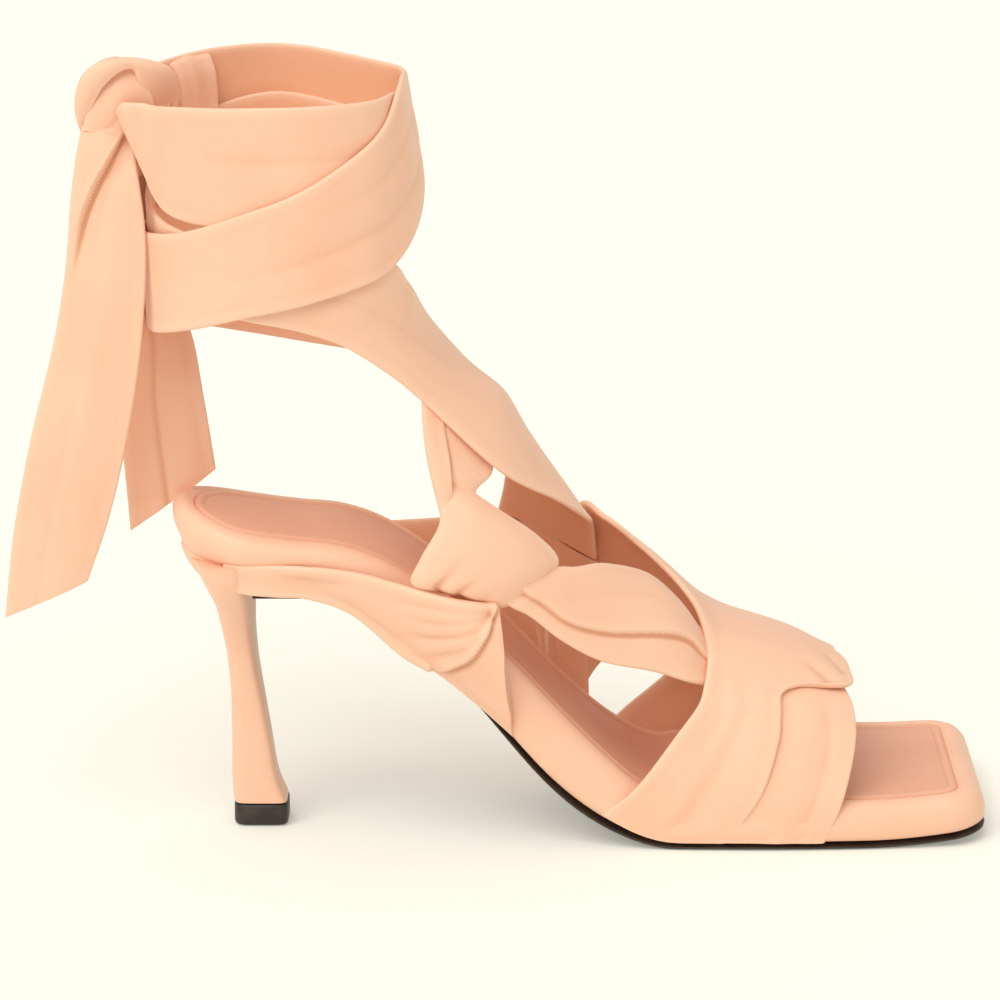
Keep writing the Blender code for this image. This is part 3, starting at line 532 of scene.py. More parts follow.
def strap(name, grid, puffs, away, look):
    # grid: rows by acrossCount points on the form; away: outward directions for the same points
    base = denser(grid, look)
    normal = unit(np.cross(np.gradient(base, axis=0), np.gradient(base, axis=1)))
    if np.sum(normal * denser(away, look)) < 0:
        normal = -normal
    height, acrossAt, edge = strapHeight(name, base, len(grid), look)
    puff = smoothRows(np.array(puffs, float)[:, None], look["steps"])[:, 0]
    crown = (1.0 - (2 * acrossAt - 1) ** 2) * puff[:, None]
    outer = base + normal * (look["wall"] * mm + (crown + height)[:, :, None] * mm)
    under = crown * look["hollow"] + height * look["insideFolds"]
    inner = base + normal * (under[:, :, None] * mm)
    # one ring: over the outer face, round the rim, back along the inner face, round the other rim
    back = inner[:, ::-liningStep]
    rims = [rimArc(outer, inner, normal, side) for side in (-1, 0)]
    rings = np.concatenate([outer, rims[0], back, rims[1]], axis=1)
    piece = tube(name, rings)
    # painted shade and highlight of the folds, nearness of an edge for the painted edge highlight, and the
    # lining's side
    long, wide = height.shape
    backAt = slice(wide + len(rimTurns), wide + len(rimTurns) + back.shape[1])
    shade = np.zeros((long, rings.shape[1] + 1))
    # rim starts at 1, so the rounded edges get the full painted edge highlight
    rim, lining = np.ones(shade.shape), np.zeros(shade.shape)
    # painted shade in the creases and painted highlight on the ridges, from the fold's height over its
    # smoothed height
    shade[:, :wide] = np.clip((height - soften(height.copy(), 6)) * shadeGain, -1, 1)
    rim[:, :wide] = np.exp(-edge / edgeHighlightWidth)
    rim[:, backAt] = rim[:, :wide][:, ::-liningStep]
    lining[:, backAt] = 1.0
    markAll(piece, shade, rim, lining)
    closeTube(piece, rings.shape[1])
    smooth(piece)
    return piece


def laidStrap(name, form, look, firstForm=None):  # firstRows lie on another form than the rest
    first = [(firstForm, row) for row in look["firstRows"]]
    rows = first + [(form, row) for row in look["rows"]]
    rows = [(rowForm, [*row, *[0.0] * (rowLength - len(row))]) for rowForm, row in rows]
    grid = [layRow(rowForm, row) for rowForm, row in rows]
    away = [[outwards(form, p) / outwardReach for p in row] for row in grid]
    return strap(name, np.array(grid), [row[6] for _, row in rows], np.array(away), look)


def feed(tree, socket, value):  # a link where the value is an output, else a constant
    if isinstance(value, bpy.types.NodeSocket):
        tree.links.new(value, socket)
    elif isinstance(value, tuple) and socket.type == "RGBA":
        socket.default_value = (*value, 1.0)
    else:
        socket.default_value = value


def feedAll(tree, node, inputs):
    for key, value in inputs.items():
        feed(tree, node.inputs[key], value)


def addNode(tree, kind, inputs=None, **settings):
    node = tree.nodes.new("ShaderNode" + kind)
    for key, value in settings.items():
        setattr(node, key, value)
    feedAll(tree, node, inputs or {})
    return node


def mathNode(tree, operation, *values, clamp=False):
    inputs = dict(enumerate(values))
    return addNode(tree, "Math", inputs, operation=operation, use_clamp=clamp).outputs[0]


def mixColour(tree, factor, first, second):
    node = addNode(tree, "Mix", data_type="RGBA")
    feedAll(tree, node, {0: factor, 6: first, 7: second})
    return node.outputs[2]


def newGroup(name, inputs, outputs):
    group = bpy.data.node_groups.new(name, "ShaderNodeTree")
    for key, value in inputs.items():
        socket = group.interface.new_socket(name=key, in_out="INPUT", socket_type="NodeSocketFloat")
        socket.default_value = value
    for key in outputs:
        group.interface.new_socket(name=key, in_out="OUTPUT", socket_type="NodeSocketFloat")
    return group, group.nodes.new("NodeGroupOutput")


def noiseNode(tree, place, scale, **more):
    inputs = {"Vector": place, "Scale": scale} | {key.capitalize(): more[key] for key in more}
    return addNode(tree, "TexNoise", inputs)


def makeGrainGroup():  # fine pebble grain with pores and long soft wrinkles
    group, end = newGroup("softGrain", {"Cells": 1500.0, "Wrinkles": 0.5}, ("Height", "Tone"))
    start = group.nodes.new("NodeGroupInput").outputs
    place = addNode(group, "TexCoord").outputs["Object"]
    warp = noiseNode(group, place, 260.0, detail=2.0).outputs["Color"]
    bend = {0: warp, 1: (0.0012, 0.0012, 0.0012), 2: place}
    bent = addNode(group, "VectorMath", bend, operation="MULTIPLY_ADD").outputs[0]
    cells = addNode(group, "TexVoronoi", {"Vector": bent, "Scale": start["Cells"]}).outputs
    pores = noiseNode(group, place, 3800.0, detail=2.0).outputs["Fac"]
    stretch = {0: addNode(group, "UVMap").outputs["UV"], 1: (520.0, 42.0, 1.0)}
    drawn = addNode(group, "VectorMath", stretch, operation="MULTIPLY").outputs[0]
    wrinkles = noiseNode(group, drawn, 1.0, detail=3.0, distortion=0.6).outputs["Fac"]
    grain = mathNode(group, "MULTIPLY", cells["Distance"], -0.55)
    fine = mathNode(group, "MULTIPLY", pores, 0.35)
    long = mathNode(group, "MULTIPLY", wrinkles, start["Wrinkles"])
    height = mathNode(group, "ADD", mathNode(group, "ADD", grain, fine), long)
    broad = noiseNode(group, place, 34.0, detail=4.0, roughness=0.55).outputs["Fac"]
    speck = mathNode(group, "MULTIPLY", pores, 0.22)
    tone = mathNode(group, "ADD", mathNode(group, "MULTIPLY", broad, 0.78), speck)
    feedAll(group, end, {"Height": height, "Tone": tone})
    return group


def makeFoldGroup():  # reads what each piece marked on itself: the folds' painted shade and highlight, the edges' painted highlight, and the lining, painted darker as shade
    group, end = newGroup("foldAndEdge", {}, ("Hollow", "Crest", "Edge", "Lining"))
    fold, rim, lining = (
        addNode(group, "Attribute", attribute_name=name).outputs["Fac"]
        for name in ("fold", "rim", "lining")
    )
    # fold hollows get painted shade, crests get painted highlight
    hollow = mathNode(group, "MULTIPLY", fold, -1.0, clamp=True)
    crest = mathNode(group, "MULTIPLY", fold, 1.0, clamp=True)
    feedAll(group, end, {"Hollow": hollow, "Crest": crest, "Edge": rim, "Lining": lining})
    return group


grainGroup = makeGrainGroup()
foldGroup = makeFoldGroup()


def newFinish(name):
    material = bpy.data.materials.new(name)
    material.use_nodes = True
    return material, material.node_tree, material.node_tree.nodes["Principled BSDF"]


def leatherFinish(name, look):
    material, tree, shader = newFinish(name)
    sizes = {"Cells": look["cells"], "Wrinkles": look["wrinkles"]}
    grain = addNode(tree, "Group", sizes, node_tree=grainGroup)
    marks = addNode(tree, "Group", node_tree=foldGroup).outputs
    tone, height = grain.outputs["Tone"], grain.outputs["Height"]
    spread = addNode(tree, "MapRange", {"Value": tone, "From Min": 0.36, "From Max": 0.64})
    colour = mixColour(tree, spread.outputs[0], look["colour"], look["colourTwo"])
    # the straps' inner faces are painted darker as shade
    colour = mixColour(tree, marks["Lining"], colour, look["liningShadeColour"])
    # painted shade in the fold hollows, painted highlight on the crests and along the edges
    for mask in ("Hollow", "Crest", "Edge"):
        share = mathNode(tree, "MULTIPLY", marks[mask], look[mask.lower()], clamp=True)
        colour = mixColour(tree, share, colour, look[mask.lower() + "Colour"])
    rough = mathNode(tree, "MULTIPLY_ADD", tone, 0.22, look["roughness"] - 0.11)
    bump = {"Strength": look["bump"], "Distance": 0.4 * mm, "Height": height}
    inputs = {
        "Base Color": colour,
        "Roughness": rough,
        "Normal": addNode(tree, "Bump", bump).outputs["Normal"],
        "Specular IOR Level": look["specular"],
        "Sheen Weight": look["sheen"],
        "Sheen Roughness": 0.4,
        "Sheen Tint": (1.0, 0.82, 0.68),
    }
    feedAll(tree, shader, inputs)
    return material


leatherLook = {
    "colour": (0.93, 0.56, 0.39),
    "colourTwo": (0.9, 0.525, 0.356),
    # painted shade of the straps' inner faces
    "liningShadeColour": (0.88, 0.48, 0.295),
    # painted shade colour and strength for the fold hollows, painted highlight for the crests and edges
    "hollowColour": (0.66, 0.27, 0.13),
    "crestColour": (0.96, 0.64, 0.46),
    "edgeColour": (0.95, 0.625, 0.45),
    "hollow": 0.7,
    "crest": 0.5,
    "edge": 0.55,
    "roughness": 0.47,
    "specular": 0.36,
    "sheen": 0.08,
    "bump": 0.16,
    "cells": 1700.0,
    "wrinkles": 0.55,
}
heelLook = leatherLook | {"roughness": 0.42, "wrinkles": 0.1, "bump": 0.12}
bedLook = leatherLook | {"roughness": 0.44, "wrinkles": 0.2, "bump": 0.13}
sockLook = leatherLook | {
    "colour": (0.84, 0.45, 0.3),
    "colourTwo": (0.79, 0.412, 0.268),
    # painted shade for the sock's hollows and painted highlight for its crests and edges
    "hollowColour": (0.5, 0.2, 0.1),
    "crestColour": (0.89, 0.51, 0.355),
    "edgeColour": (0.82, 0.44, 0.28),
    "roughness": 0.56,
    "specular": 0.3,
    "bump": 0.2,
    "cells": 1300.0,
    "wrinkles": 0.15,
}
softLeather = leatherFinish("softLeather", leatherLook)
heelLeather = leatherFinish("heelLeather", heelLook)
bedLeather = leatherFinish("bedLeather", bedLook)
sockLeather = leatherFinish("sockLeather", sockLook)


def darkFinish(name, look):
    material, tree, shader = newFinish(name)
    place = addNode(tree, "TexCoord").outputs["Object"]
    scuff = noiseNode(tree, place, look["scuffs"], detail=6.0).outputs["Fac"]
    reach = {"Value": scuff, "From Min": 0.42, "From Max": 0.72}
    spread = addNode(tree, "MapRange", reach).outputs[0]
    fine = noiseNode(tree, place, look["grain"], detail=3.0).outputs["Fac"]
    bump = {"Strength": look["bump"], "Distance": 0.3 * mm, "Height": fine}
    inputs = {
        "Base Color": mixColour(tree, spread, look["colour"], look["worn"]),
        "Roughness": mathNode(tree, "MULTIPLY_ADD", spread, 0.2, look["roughness"]),
        "Normal": addNode(tree, "Bump", bump).outputs["Normal"],
        "Specular IOR Level": 0.4,
    }
    feedAll(tree, shader, inputs)
    return material


soleLook = {
    "colour": (0.028, 0.017, 0.011),
    "worn": (0.05, 0.033, 0.023),
    "roughness": 0.38,
    "scuffs": 90.0,
    "grain": 1400.0,
    "bump": 0.15,
}
topPieceLook = {
    "colour": (0.026, 0.021, 0.017),
    "worn": (0.06, 0.05, 0.042),
    "roughness": 0.4,
    "scuffs": 160.0,
    "grain": 2200.0,
    "bump": 0.22,
}
soleDark = darkFinish("soleDark", soleLook)
topPieceDark = darkFinish("topPieceDark", topPieceLook)
print("finishes ready")


def stationsBetween(first, last, count):  # shared stations along the sole, closer at both ends
    inside = []
    for k in range(count + 1):
        share = 0.5 - 0.5 * math.cos(math.pi * k / count)
        x = shoe["back"] + shoe["length"] * (0.4 * k / count + 0.6 * share)
        if first + 0.0004 < x < last - 0.0004:
            inside.append(x)
    return [first, *inside, last]


def planRing(first, last, inset, count=96, openFront=False):  # near side forward, far side back
    back, toe = shoe["back"], shoe["toe"]
    heelRound = max(shoe["heelRound"] - inset, 0.001)
    toeRound = max(shoe["toeRound"] - inset, 0.001)
    nearSide, farSide = [], []
    for x in stationsBetween(first, last, count):
        if x < back + shoe["heelRound"] and first <= back:
            x += inset * (1.0 - (x - back) / shoe["heelRound"])
        if x > toe - shoe["toeRound"] and not openFront:
            x -= inset * (1.0 - (toe - x) / shoe["toeRound"])
        along = (x - back) / shoe["length"]
        tuck = inset
        if x - back - inset < heelRound:
            gap = heelRound - (x - back - inset)
            tuck += heelRound - math.sqrt(max(heelRound**2 - gap**2, 0.0))
        if toe - inset - x < toeRound and not openFront:
            gap = toeRound - (toe - inset - x)
            tuck += toeRound - math.sqrt(max(toeRound**2 - gap**2, 0.0))
        nearSide.append((x, shoe["ballWidth"] * tableValue(shoe["plan"], along, 1) + tuck))
        farSide.append((x, shoe["ballWidth"] * tableValue(shoe["plan"], along, 2) - tuck))
    return nearSide + farSide[::-1]


toeReach = {"from": 0.03, "extra": 0.003}
waistDrop = {"at": -0.061, "reach": 0.02, "most": 0.0038}


def dropWaist(point, share):  # sole and bed's edge curve down faster in front of the waist
    fall = waistDrop["most"] * math.exp(-(((point[0] - waistDrop["at"]) / waistDrop["reach"]) ** 2))
    return (point[0], point[1], max(point[2] - fall * share, 0.0))


def reachToe(point):  # the square toe ends a little past the plan
    share = smoothStep((point[0] - toeReach["from"]) / (shoe["toe"] - toeReach["from"]))
    return (point[0] + toeReach["extra"] * share, point[1], point[2])


outsole = {
    "breast": -0.1448,
    "inset": 0.001,
    # in the waist the sole is drawn in a little more
    "waistInset": 0.0021,
    "waistInsetEnd": -0.088,
    "waistInsetFade": 0.034,
    # inset of the ring, share of the sole's wall
    "section": [
        (0.006, 0.0),
        (0.001, 0.0),
        (0.0003, 0.08),
        (0.0, 0.22),
        (0.0002, 0.4),
        (0.0012, 0.55),
        (0.003, 1.0),
    ],
}


def makeOutsole():
    rings = []
    for inset, share in outsole["section"]:
        plan = planRing(outsole["breast"], shoe["toe"], outsole["inset"] + inset)
        ring = []
        for k, (x, y) in enumerate(plan):
            past = (x - outsole["waistInsetEnd"]) / outsole["waistInsetFade"]
            waist = outsole["waistInset"] * (1.0 - smoothStep(past))
            drawn = waist if k < len(plan) // 2 else -waist
            spot = overSole(x, y + drawn, share * shoe["soleWall"])
            ring.append(dropWaist(reachToe(spot), 1.0))
        rings.append(ring)
    piece = tube("outsoleLeather", rings)
    closeTube(piece, len(rings[0]), acrossStrips=True)
    smooth(piece, 40)
    markAll(piece)
    dress(piece, "outsole", soleDark)


bed = {
    "stations": 150,
    # inset as a share of the seam's, rise as a share of the bed's thickness, extra rise in mm
    "section": [
        (0.9, 0.0, 0.0),
        (0.62, 0.0, 0.0),
        (0.5, 0.0, 0.0),
        (0.28, 0.0, 0.0),
        (0.14, 0.03, 0.0),
        (0.06, 0.12, 0.0),
        (0.015, 0.27, 0.0),
        (0.0, 0.42, 0.0),
        (0.015, 0.55, 0.0),
        (0.06, 0.67, 0.0),
        (0.14, 0.78, 0.0),
        (0.25, 0.875, 0.0),
        (0.38, 0.945, 0.0),
        (0.52, 0.985, 0.0),
        (0.66, 1.0, 0.0),
        (0.79, 0.995, 0.0),
        (0.9, 0.975, 0.0),
        (0.97, 0.95, -0.06),
        (1.0, 0.93, -0.21),
        (1.03, 0.9, -0.54),
        (1.2, 0.9, -0.66),
    ],
    # at the back the roll's underside slants in to the heel: share of the thickness, mm
    "backTuck": [
        (0.0, 2.3),
        (0.05, 2.6),
        (0.14, 2.5),
        (0.27, 1.8),
        (0.42, 1.0),
        (0.55, 0.4),
        (0.7, 0.0),
    ],
    "backReach": 0.026,
    "dropTo": 0.8,  # the waist's drop fades out at this share of the thickness
}


def makeBed():
    base = shoe["soleWall"] + shoe["gap"]
    rings = []
    for inset, share, extra in bed["section"]:
        slant = tableValue(bed["backTuck"], share, 1) * mm if inset < 0.7 or share < 0.1 else 0.0
        ring = []
        for x, y in planRing(shoe["back"], shoe["toe"], inset * shoe["seamInset"], bed["stations"]):
            rise = base + seatBlock(x) + share * bedThickness(x) + extra * mm
            spot = overSole(x, y, rise)
            tuck = slant * (1.0 - smoothStep((x - shoe["back"]) / bed["backReach"]))
            spot = reachToe((spot[0] + tuck, spot[1], spot[2]))
            ring.append(dropWaist(spot, max(1.0 - share / bed["dropTo"], 0.0)))
        rings.append(ring)
    piece = tube("wrappedBed", rings)
    closeTube(piece, len(rings[0]), acrossStrips=True)
    smooth(piece)
    markAll(piece)
    dress(piece, "footbed", bedLeather)


sock = {
    "wall": 0.0012,
    "shell": 0.0008,
    "along": 190,
    "across": 96,
    "inset": 0.0071,
    "rest": 0.95,  # its underside, as a share of the bed's thickness
    # distance from the edge in mm, height in mm over the bed
    "edge": [
        (0.0, 0.25),
        (0.25, 0.85),
        (0.7, 1.25),
        (1.2, 1.32),
        (1.7, 1.05),
        (2.2, 0.88),
        (3.2, 0.98),
        (6.0, 1.15),
        (12.0, 1.45),
        (40.0, 1.6),
    ],
    # distance from the edge in mm, painted shade below 0 and painted highlight above, along the sock's
    # edge roll
    "shade": [(0, -0.9), (0.35, -0.1), (0.9, 0.75), (1.4, 0.2), (2.0, -0.35), (2.8, 0.0), (4, 0.0)],
    # dents of a foot: x, y, half length, half width, depth in mm
    "dents": [
        (-0.143, -0.012, 0.02, 0.015, 0.55),
        (0.004, 0.004, 0.03, 0.026, 0.5),
        (0.043, 0.01, 0.012, 0.024, 0.25),
    ],
}


def edgeDistance(flat, outline):  # from each point of the grid to the outline
    starts, run = outline[:-1], np.diff(outline, axis=0)
    size = np.maximum((run**2).sum(axis=1), 1e-14)
    distance = np.full(flat.shape[:2], 1.0)
    for i, line in enumerate(flat):
        gap = line[:, None, :] - starts[None]
        t = np.clip((gap * run).sum(axis=2) / size, 0, 1)
        distance[i] = np.linalg.norm(gap - t[:, :, None] * run, axis=2).min(axis=1)
    return distance


def makeSock():
    plan = planRing(shoe["back"], shoe["toe"], sock["inset"], sock["along"])
    half = len(plan) // 2
    near, far = np.array(plan[:half]), np.array(plan[half:][::-1])
    even = np.linspace(0, 1, sock["across"] + 1)
    spread = 0.6 * (0.5 - 0.5 * np.cos(np.pi * even)) + 0.4 * even
    flat = near[:, None, :] + (far - near)[:, None, :] * spread[None, :, None]
    distance = edgeDistance(flat, np.array(plan + plan[:1])) * 1000
    keys = np.linspace(0, 40, 1200)
    curve = np.array([tableValue(sock["edge"], key, 1) for key in keys])
    rise = np.interp(distance, keys, curve)
    shade = np.interp(distance, *zip(*sock["shade"]))
    base = shoe["soleWall"] + shoe["gap"] - sock["wall"]
    points = np.zeros((*flat.shape[:2], 3))
    for i, j in np.ndindex(*flat.shape[:2]):
        x, y = flat[i, j]
        up = rise[i, j]
        for dx, dy, rx, ry, depth in sock["dents"]:
            up -= depth * math.exp(-(((x - dx) / rx) ** 2) - ((y - dy) / ry) ** 2)
        height = base + seatBlock(x) + sock["rest"] * bedThickness(x) + up * mm
        points[i, j] = reachToe(overSole(x, y, height))
    piece = freshPiece("sockLining", flat.shape[1] - 1, flat.shape[0] - 1)
    placeGrid(piece, points)
    measuredMap(piece, points)
    markAll(piece, shade)
    choose(piece)
    bpy.ops.object.modifier_add(type="SOLIDIFY")
    shell = piece.modifiers[-1]
    shell.thickness = sock["shell"]
    shell.offset = -1.0
    shell.use_even_offset = False
    bpy.ops.object.modifier_apply(modifier=shell.name)
    turnFacesOut(piece)
    smooth(piece)
    dress(piece, "sock", sockLeather)


heel = {
    "back": -0.1526,
    "halfWidth": 0.0225,
    "topPiece": 0.0066,
    "points": 56,
    "sections": 54,
    # up, back, breast, half, square: shares of the heel's rise and half width
    "rows": [
        (0.0892, 0.006, 0.219, 0.31, 5.0),
        (0.15, 0.001, 0.192, 0.3, 4.4),
        (0.21, -0.002, 0.175, 0.295, 4.0),
        (0.35, 0.0, 0.155, 0.29, 3.2),
        (0.515, -0.001, 0.129, 0.31, 2.8),
        (0.69, -0.014, 0.104, 0.4, 2.5),
        (0.82, -0.036, 0.096, 0.58, 2.4),
        (0.92, -0.058, 0.097, 0.79, 2.3),
        (0.985, -0.084, 0.099, 0.97, 2.3),
        (1.05, -0.113, 0.1, 1.1, 2.3),
        (1.128, -0.145, 0.102, 1.16, 2.3),
    ],
    # the cover under the bed's edge: inset in mm, share of the block's height
    "cover": [
        (0.0078, 0.0),
        (0.0066, 0.1),
        (0.0055, 0.28),
        (0.0044, 0.52),
        (0.0034, 0.78),
        (0.0027, 1.0),
        (0.0032, 1.14),
    ],
    "coverFront": -0.12,
    # the top piece: height, growth
    "tip": [(0.0, -0.0011), (0.00012, -0.0006), (0.0005, -0.0002), (0.0011, 0.0)],
    "tipEnd": [(0.0009, 0.0), (0.0003, -0.0001), (0.0, -0.0005)],  # the same, down from its top
}


def heelRing(up, grow=0.0):
    rise = shoe["heelRise"]
    back = heel["back"] + tableValue(heel["rows"], up, 1) * rise - grow
    breast = heel["back"] + tableValue(heel["rows"], up, 2) * rise + grow
    half = tableValue(heel["rows"], up, 3) * heel["halfWidth"] + grow
    square = tableValue(heel["rows"], up, 4)
    middle, reach = (back + breast) / 2, (breast - back) / 2
    ring = []
    for k in range(heel["points"]):
        angle = 2 * math.pi * (k + 0.5) / heel["points"] - math.pi
        c, s = math.cos(angle), math.sin(angle)
        power = 2.0 / (square if c < 0 else square + 1.5)
        x = middle + reach * math.copysign(abs(c) ** power, c)
        y = half * math.copysign(abs(s) ** power, s)
        ring.append((x, shoe["seatSide"] + y, up * rise))
    return ring


def makeHeel():
    first, last = heel["rows"][0][0] + 0.004, heel["rows"][-1][0]
    rings = [heelRing(first, -0.0012), heelRing(first, -0.0002)]
    for k in range(1, heel["sections"] + 1):
        rings.append(heelRing(first + (last - first) * k / heel["sections"]))
    rings.append(heelRing(last, -0.0015))
    piece = tube("heelCover", rings)
    closeTube(piece, heel["points"])
    block = []
    low = shoe["soleWall"] + shoe["gap"]
    for inset, share in heel["cover"]:
        ring = []
        for x, y in planRing(shoe["back"], heel["coverFront"], inset, openFront=True):
            high = shoe["soleWall"] + seatBlock(x)
            ring.append(overSole(x, y, low + (high - low) * share))
        block.append(ring)
    seat = tube("seatCover", block)
    closeTube(seat, len(block[0]), acrossStrips=True)
    choose(seat, piece)
    bpy.ops.object.join()
    smooth(piece, 42)
    markAll(piece)
    dress(piece, "heel", heelLeather)


def makeTopPiece():
    row = heel["rows"][0][0]
    top = heel["topPiece"] - 0.0002
    levels = [*heel["tip"], (0.5 * top, 0.0), *[(top - down, grow) for down, grow in heel["tipEnd"]]]
    rings = []
    for z, grow in levels:
        rings.append([(x, y, z) for x, y, _ in heelRing(row, grow)])
    piece = tube("heelTip", rings)
    closeTube(piece, heel["points"])
    smooth(piece, 45)
    markAll(piece)
    dress(piece, "top_piece", topPieceDark)


makeOutsole()
makeBed()
makeSock()
makeHeel()
makeTopPiece()
print("sole, bed and heel made")

toeBand = band | {
    "rows": [
        (0.655, -1.0, 0.801, -1.0, 0.1, 0.1),
        (0.685, -0.87, 0.823, -0.84, 0.3, 0.3),
        (0.705, -0.69, 0.838, -0.58, 0.2, 0.2),
        (0.715, -0.5, 0.838, -0.39, 0.1, 0.1),
        (0.715, -0.32, 0.833, -0.26, -0.4, -0.6),
        (0.712, -0.16, 0.822, -0.12, -0.8, -1.0),
    ],
    "folds": [
        ("ridge", 0.5, 4.5, 0.0, 1.2, [(0.0, 0.62), (1.0, 0.59), (2.0, 0.57), (3.2, 0.58), (4.0, 0.6)]),
        ("crease", 0.35, 2.2, 0.3, 1.2, [(0.0, 0.76), (1.7, 0.78), (3.0, 0.7), (3.6, 0.66)]),
        ("ridge", 0.4, 4.0, 0.0, 0.8, [(0.0, 0.9), (2.0, 0.9), (4.0, 0.88)]),
    ],
}
vamp = band | {
    "across": 96,
    "steps": 10,
    "soft": 0.22,
    "rows": [
        (0.536, -1.0, 0.68, -1.0, 0.3, 0.3),
        (0.577, -0.9, 0.722, -0.86, 1.4, 1.4),
        (0.625, -0.71, 0.742, -0.66, 2.0, 2.0),
        (0.648, -0.58, 0.745, -0.53, 2.1, 2.1),
        (0.655, -0.49, 0.747, -0.435, 2.1, 2.1),
        (0.658, -0.42, 0.772, -0.365, 2.1, 2.0, 0.1),
        (0.659, -0.35, 0.812, -0.305, 2.1, 2.0, 0.3),
        (0.656, -0.27, 0.834, -0.235, 2.1, 1.9, 0.4),
        (0.651, -0.17, 0.835, -0.145, 2.0, 1.9, 0.4),
        (0.64, -0.03, 0.82, 0.0, 1.8, 1.8, 0.4),
        (0.612, 0.05, 0.745, 0.25, 1.6, 1.8, 0.3),
        (0.572, 0.1, 0.662, 0.52, 2.8, 1.6, 0.1),
        (0.524, 0.14, 0.59, 0.7, 3.4, 1.6),
        (0.492, 0.38, 0.54, 0.82, 3.8, 1.2),
        (0.472, 0.78, 0.512, 0.93, 2.0, 0.8),
        (0.466, 1.0, 0.506, 1.0, 0.2, 0.2),
    ],
    "folds": [
        # the broad folds of the outer side
        (
            "crease", 0.5, 3.6, 0.6, 2.6,
            [(0.0, 0.5), (1.0, 0.5), (1.83, 0.53), (3.17, 0.56), (4.33, 0.44), (6.2, 0.19)],
        ),
        (
            "ridge", 0.45, 3.6, 0.6, 2.6,
            [(0.0, 0.38), (1.0, 0.38), (1.83, 0.41), (3.17, 0.44), (4.33, 0.33), (6.0, 0.1)],
        ),
        ("ridge", 0.5, 6.0, 0.4, 2.2, [(0.0, 0.8), (1.5, 0.86), (3.0, 0.84), (4.4, 0.68), (6.0, 0.4)]),
        ("crease", 0.3, 3.2, 1.2, 1.8, [(1.5, 0.3), (3.0, 0.28), (4.5, 0.2), (6.5, 0.1)]),
        # gathers that run back from the nose
        ("crease", 0.55, 1.7, 0.2, 1.1, [(5.9, 0.98), (6.4, 0.86), (7.0, 0.72), (7.6, 0.6)]),
        ("ridge", 0.5, 3.4, 0.2, 1.4, [(6.6, 0.97), (7.2, 0.86), (8.2, 0.74), (8.9, 0.66)]),
        ("crease", 0.4, 2.0, 0.2, 1.0, [(7.4, 0.96), (8.2, 0.88), (8.9, 0.8)]),
        ("crease", 0.35, 2.6, 1.4, 0.0, [(10.0, 0.45), (12.0, 0.48), (15.0, 0.5)]),
    ],
}
# the inner side's front band comes out from under the vamp and leaves a window behind it
frontBand = band | {
    "rows": [
        (0.705, -0.13, 0.822, -0.13, -0.6, -0.8),
        (0.7, 0.04, 0.824, 0.02, 0.0, -0.2),
        (0.692, 0.22, 0.824, 0.2, 0.2, 0.2),
        (0.672, 0.5, 0.82, 0.5, 0.2, 0.2),
        (0.626, 0.78, 0.82, 0.76, 0.2, 0.2),
        (0.566, 0.92, 0.824, 0.9, 0.2, 0.2),
        (0.524, 1.0, 0.828, 1.0, 0.2, 0.2),
    ],
    "folds": [
        ("crease", 0.4, 2.6, 0.8, 0.0, [(2.0, 0.4), (4.0, 0.38), (6.0, 0.42)]),
        ("ridge", 0.4, 4.0, 0.8, 0.0, [(1.5, 0.72), (4.0, 0.7), (6.0, 0.72)]),
    ],
}
twist = band | {
    "steps": 12,
    "soft": 0.15,
    "rows": [
        (0.69, -0.14, 0.69, -0.44, -1.2, -1.2),
        (0.653, -0.18, 0.659, -0.46, -0.3, -0.3, 0.6),
        (0.616, -0.14, 0.627, -0.51, 0.5, 0.5, 2.2),
        (0.579, -0.14, 0.59, -0.55, 0.9, 0.9, 3.0),
        (0.528, -0.26, 0.527, -0.62, 1.0, 1.0, 3.2),
        (0.49, -0.43, 0.478, -0.68, 1.0, 1.0, 2.8),
        (0.47, -0.5, 0.441, -0.71, 0.8, 0.8, 2.2),
        (0.448, -0.57, 0.415, -0.745, 0.4, 0.4, 1.6),
        (0.424, -0.6, 0.392, -0.765, -0.6, -0.6, 0.6),
    ],
    "folds": [
        (
            "lap", 1.5, -12.0, 1.3, 0.0,
            [(0.4, 0.6), (1.67, 0.6), (3.0, 0.72), (3.67, 0.76), (5.17, 0.8), (6.3, 0.76), (7.2, 0.66)],
        ),
        ("ridge", 0.5, 4.0, 1.0, 0.4, [(1.0, 0.86), (3.0, 0.9), (5.5, 0.93), (7.0, 0.88)]),
        ("crease", 0.3, 3.0, 1.2, 1.0, [(2.0, 0.34), (4.0, 0.42), (6.0, 0.5)]),
    ],
}
innerBand = band | {
    "rows": [
        (0.464, 1.0, 0.52, 1.0),
        (0.46, 0.93, 0.518, 0.9),
        (0.451, 0.87, 0.517, 0.8),
        (0.434, 0.81, 0.52, 0.677),
        (0.405, 0.7, 0.526, 0.47),
    ],
    "folds": [
        ("crease", 0.45, 0.7, 0.0, 0.0, [(0.0, 0.6), (2.0, 0.6), (4.0, 0.62)]),
    ],
}
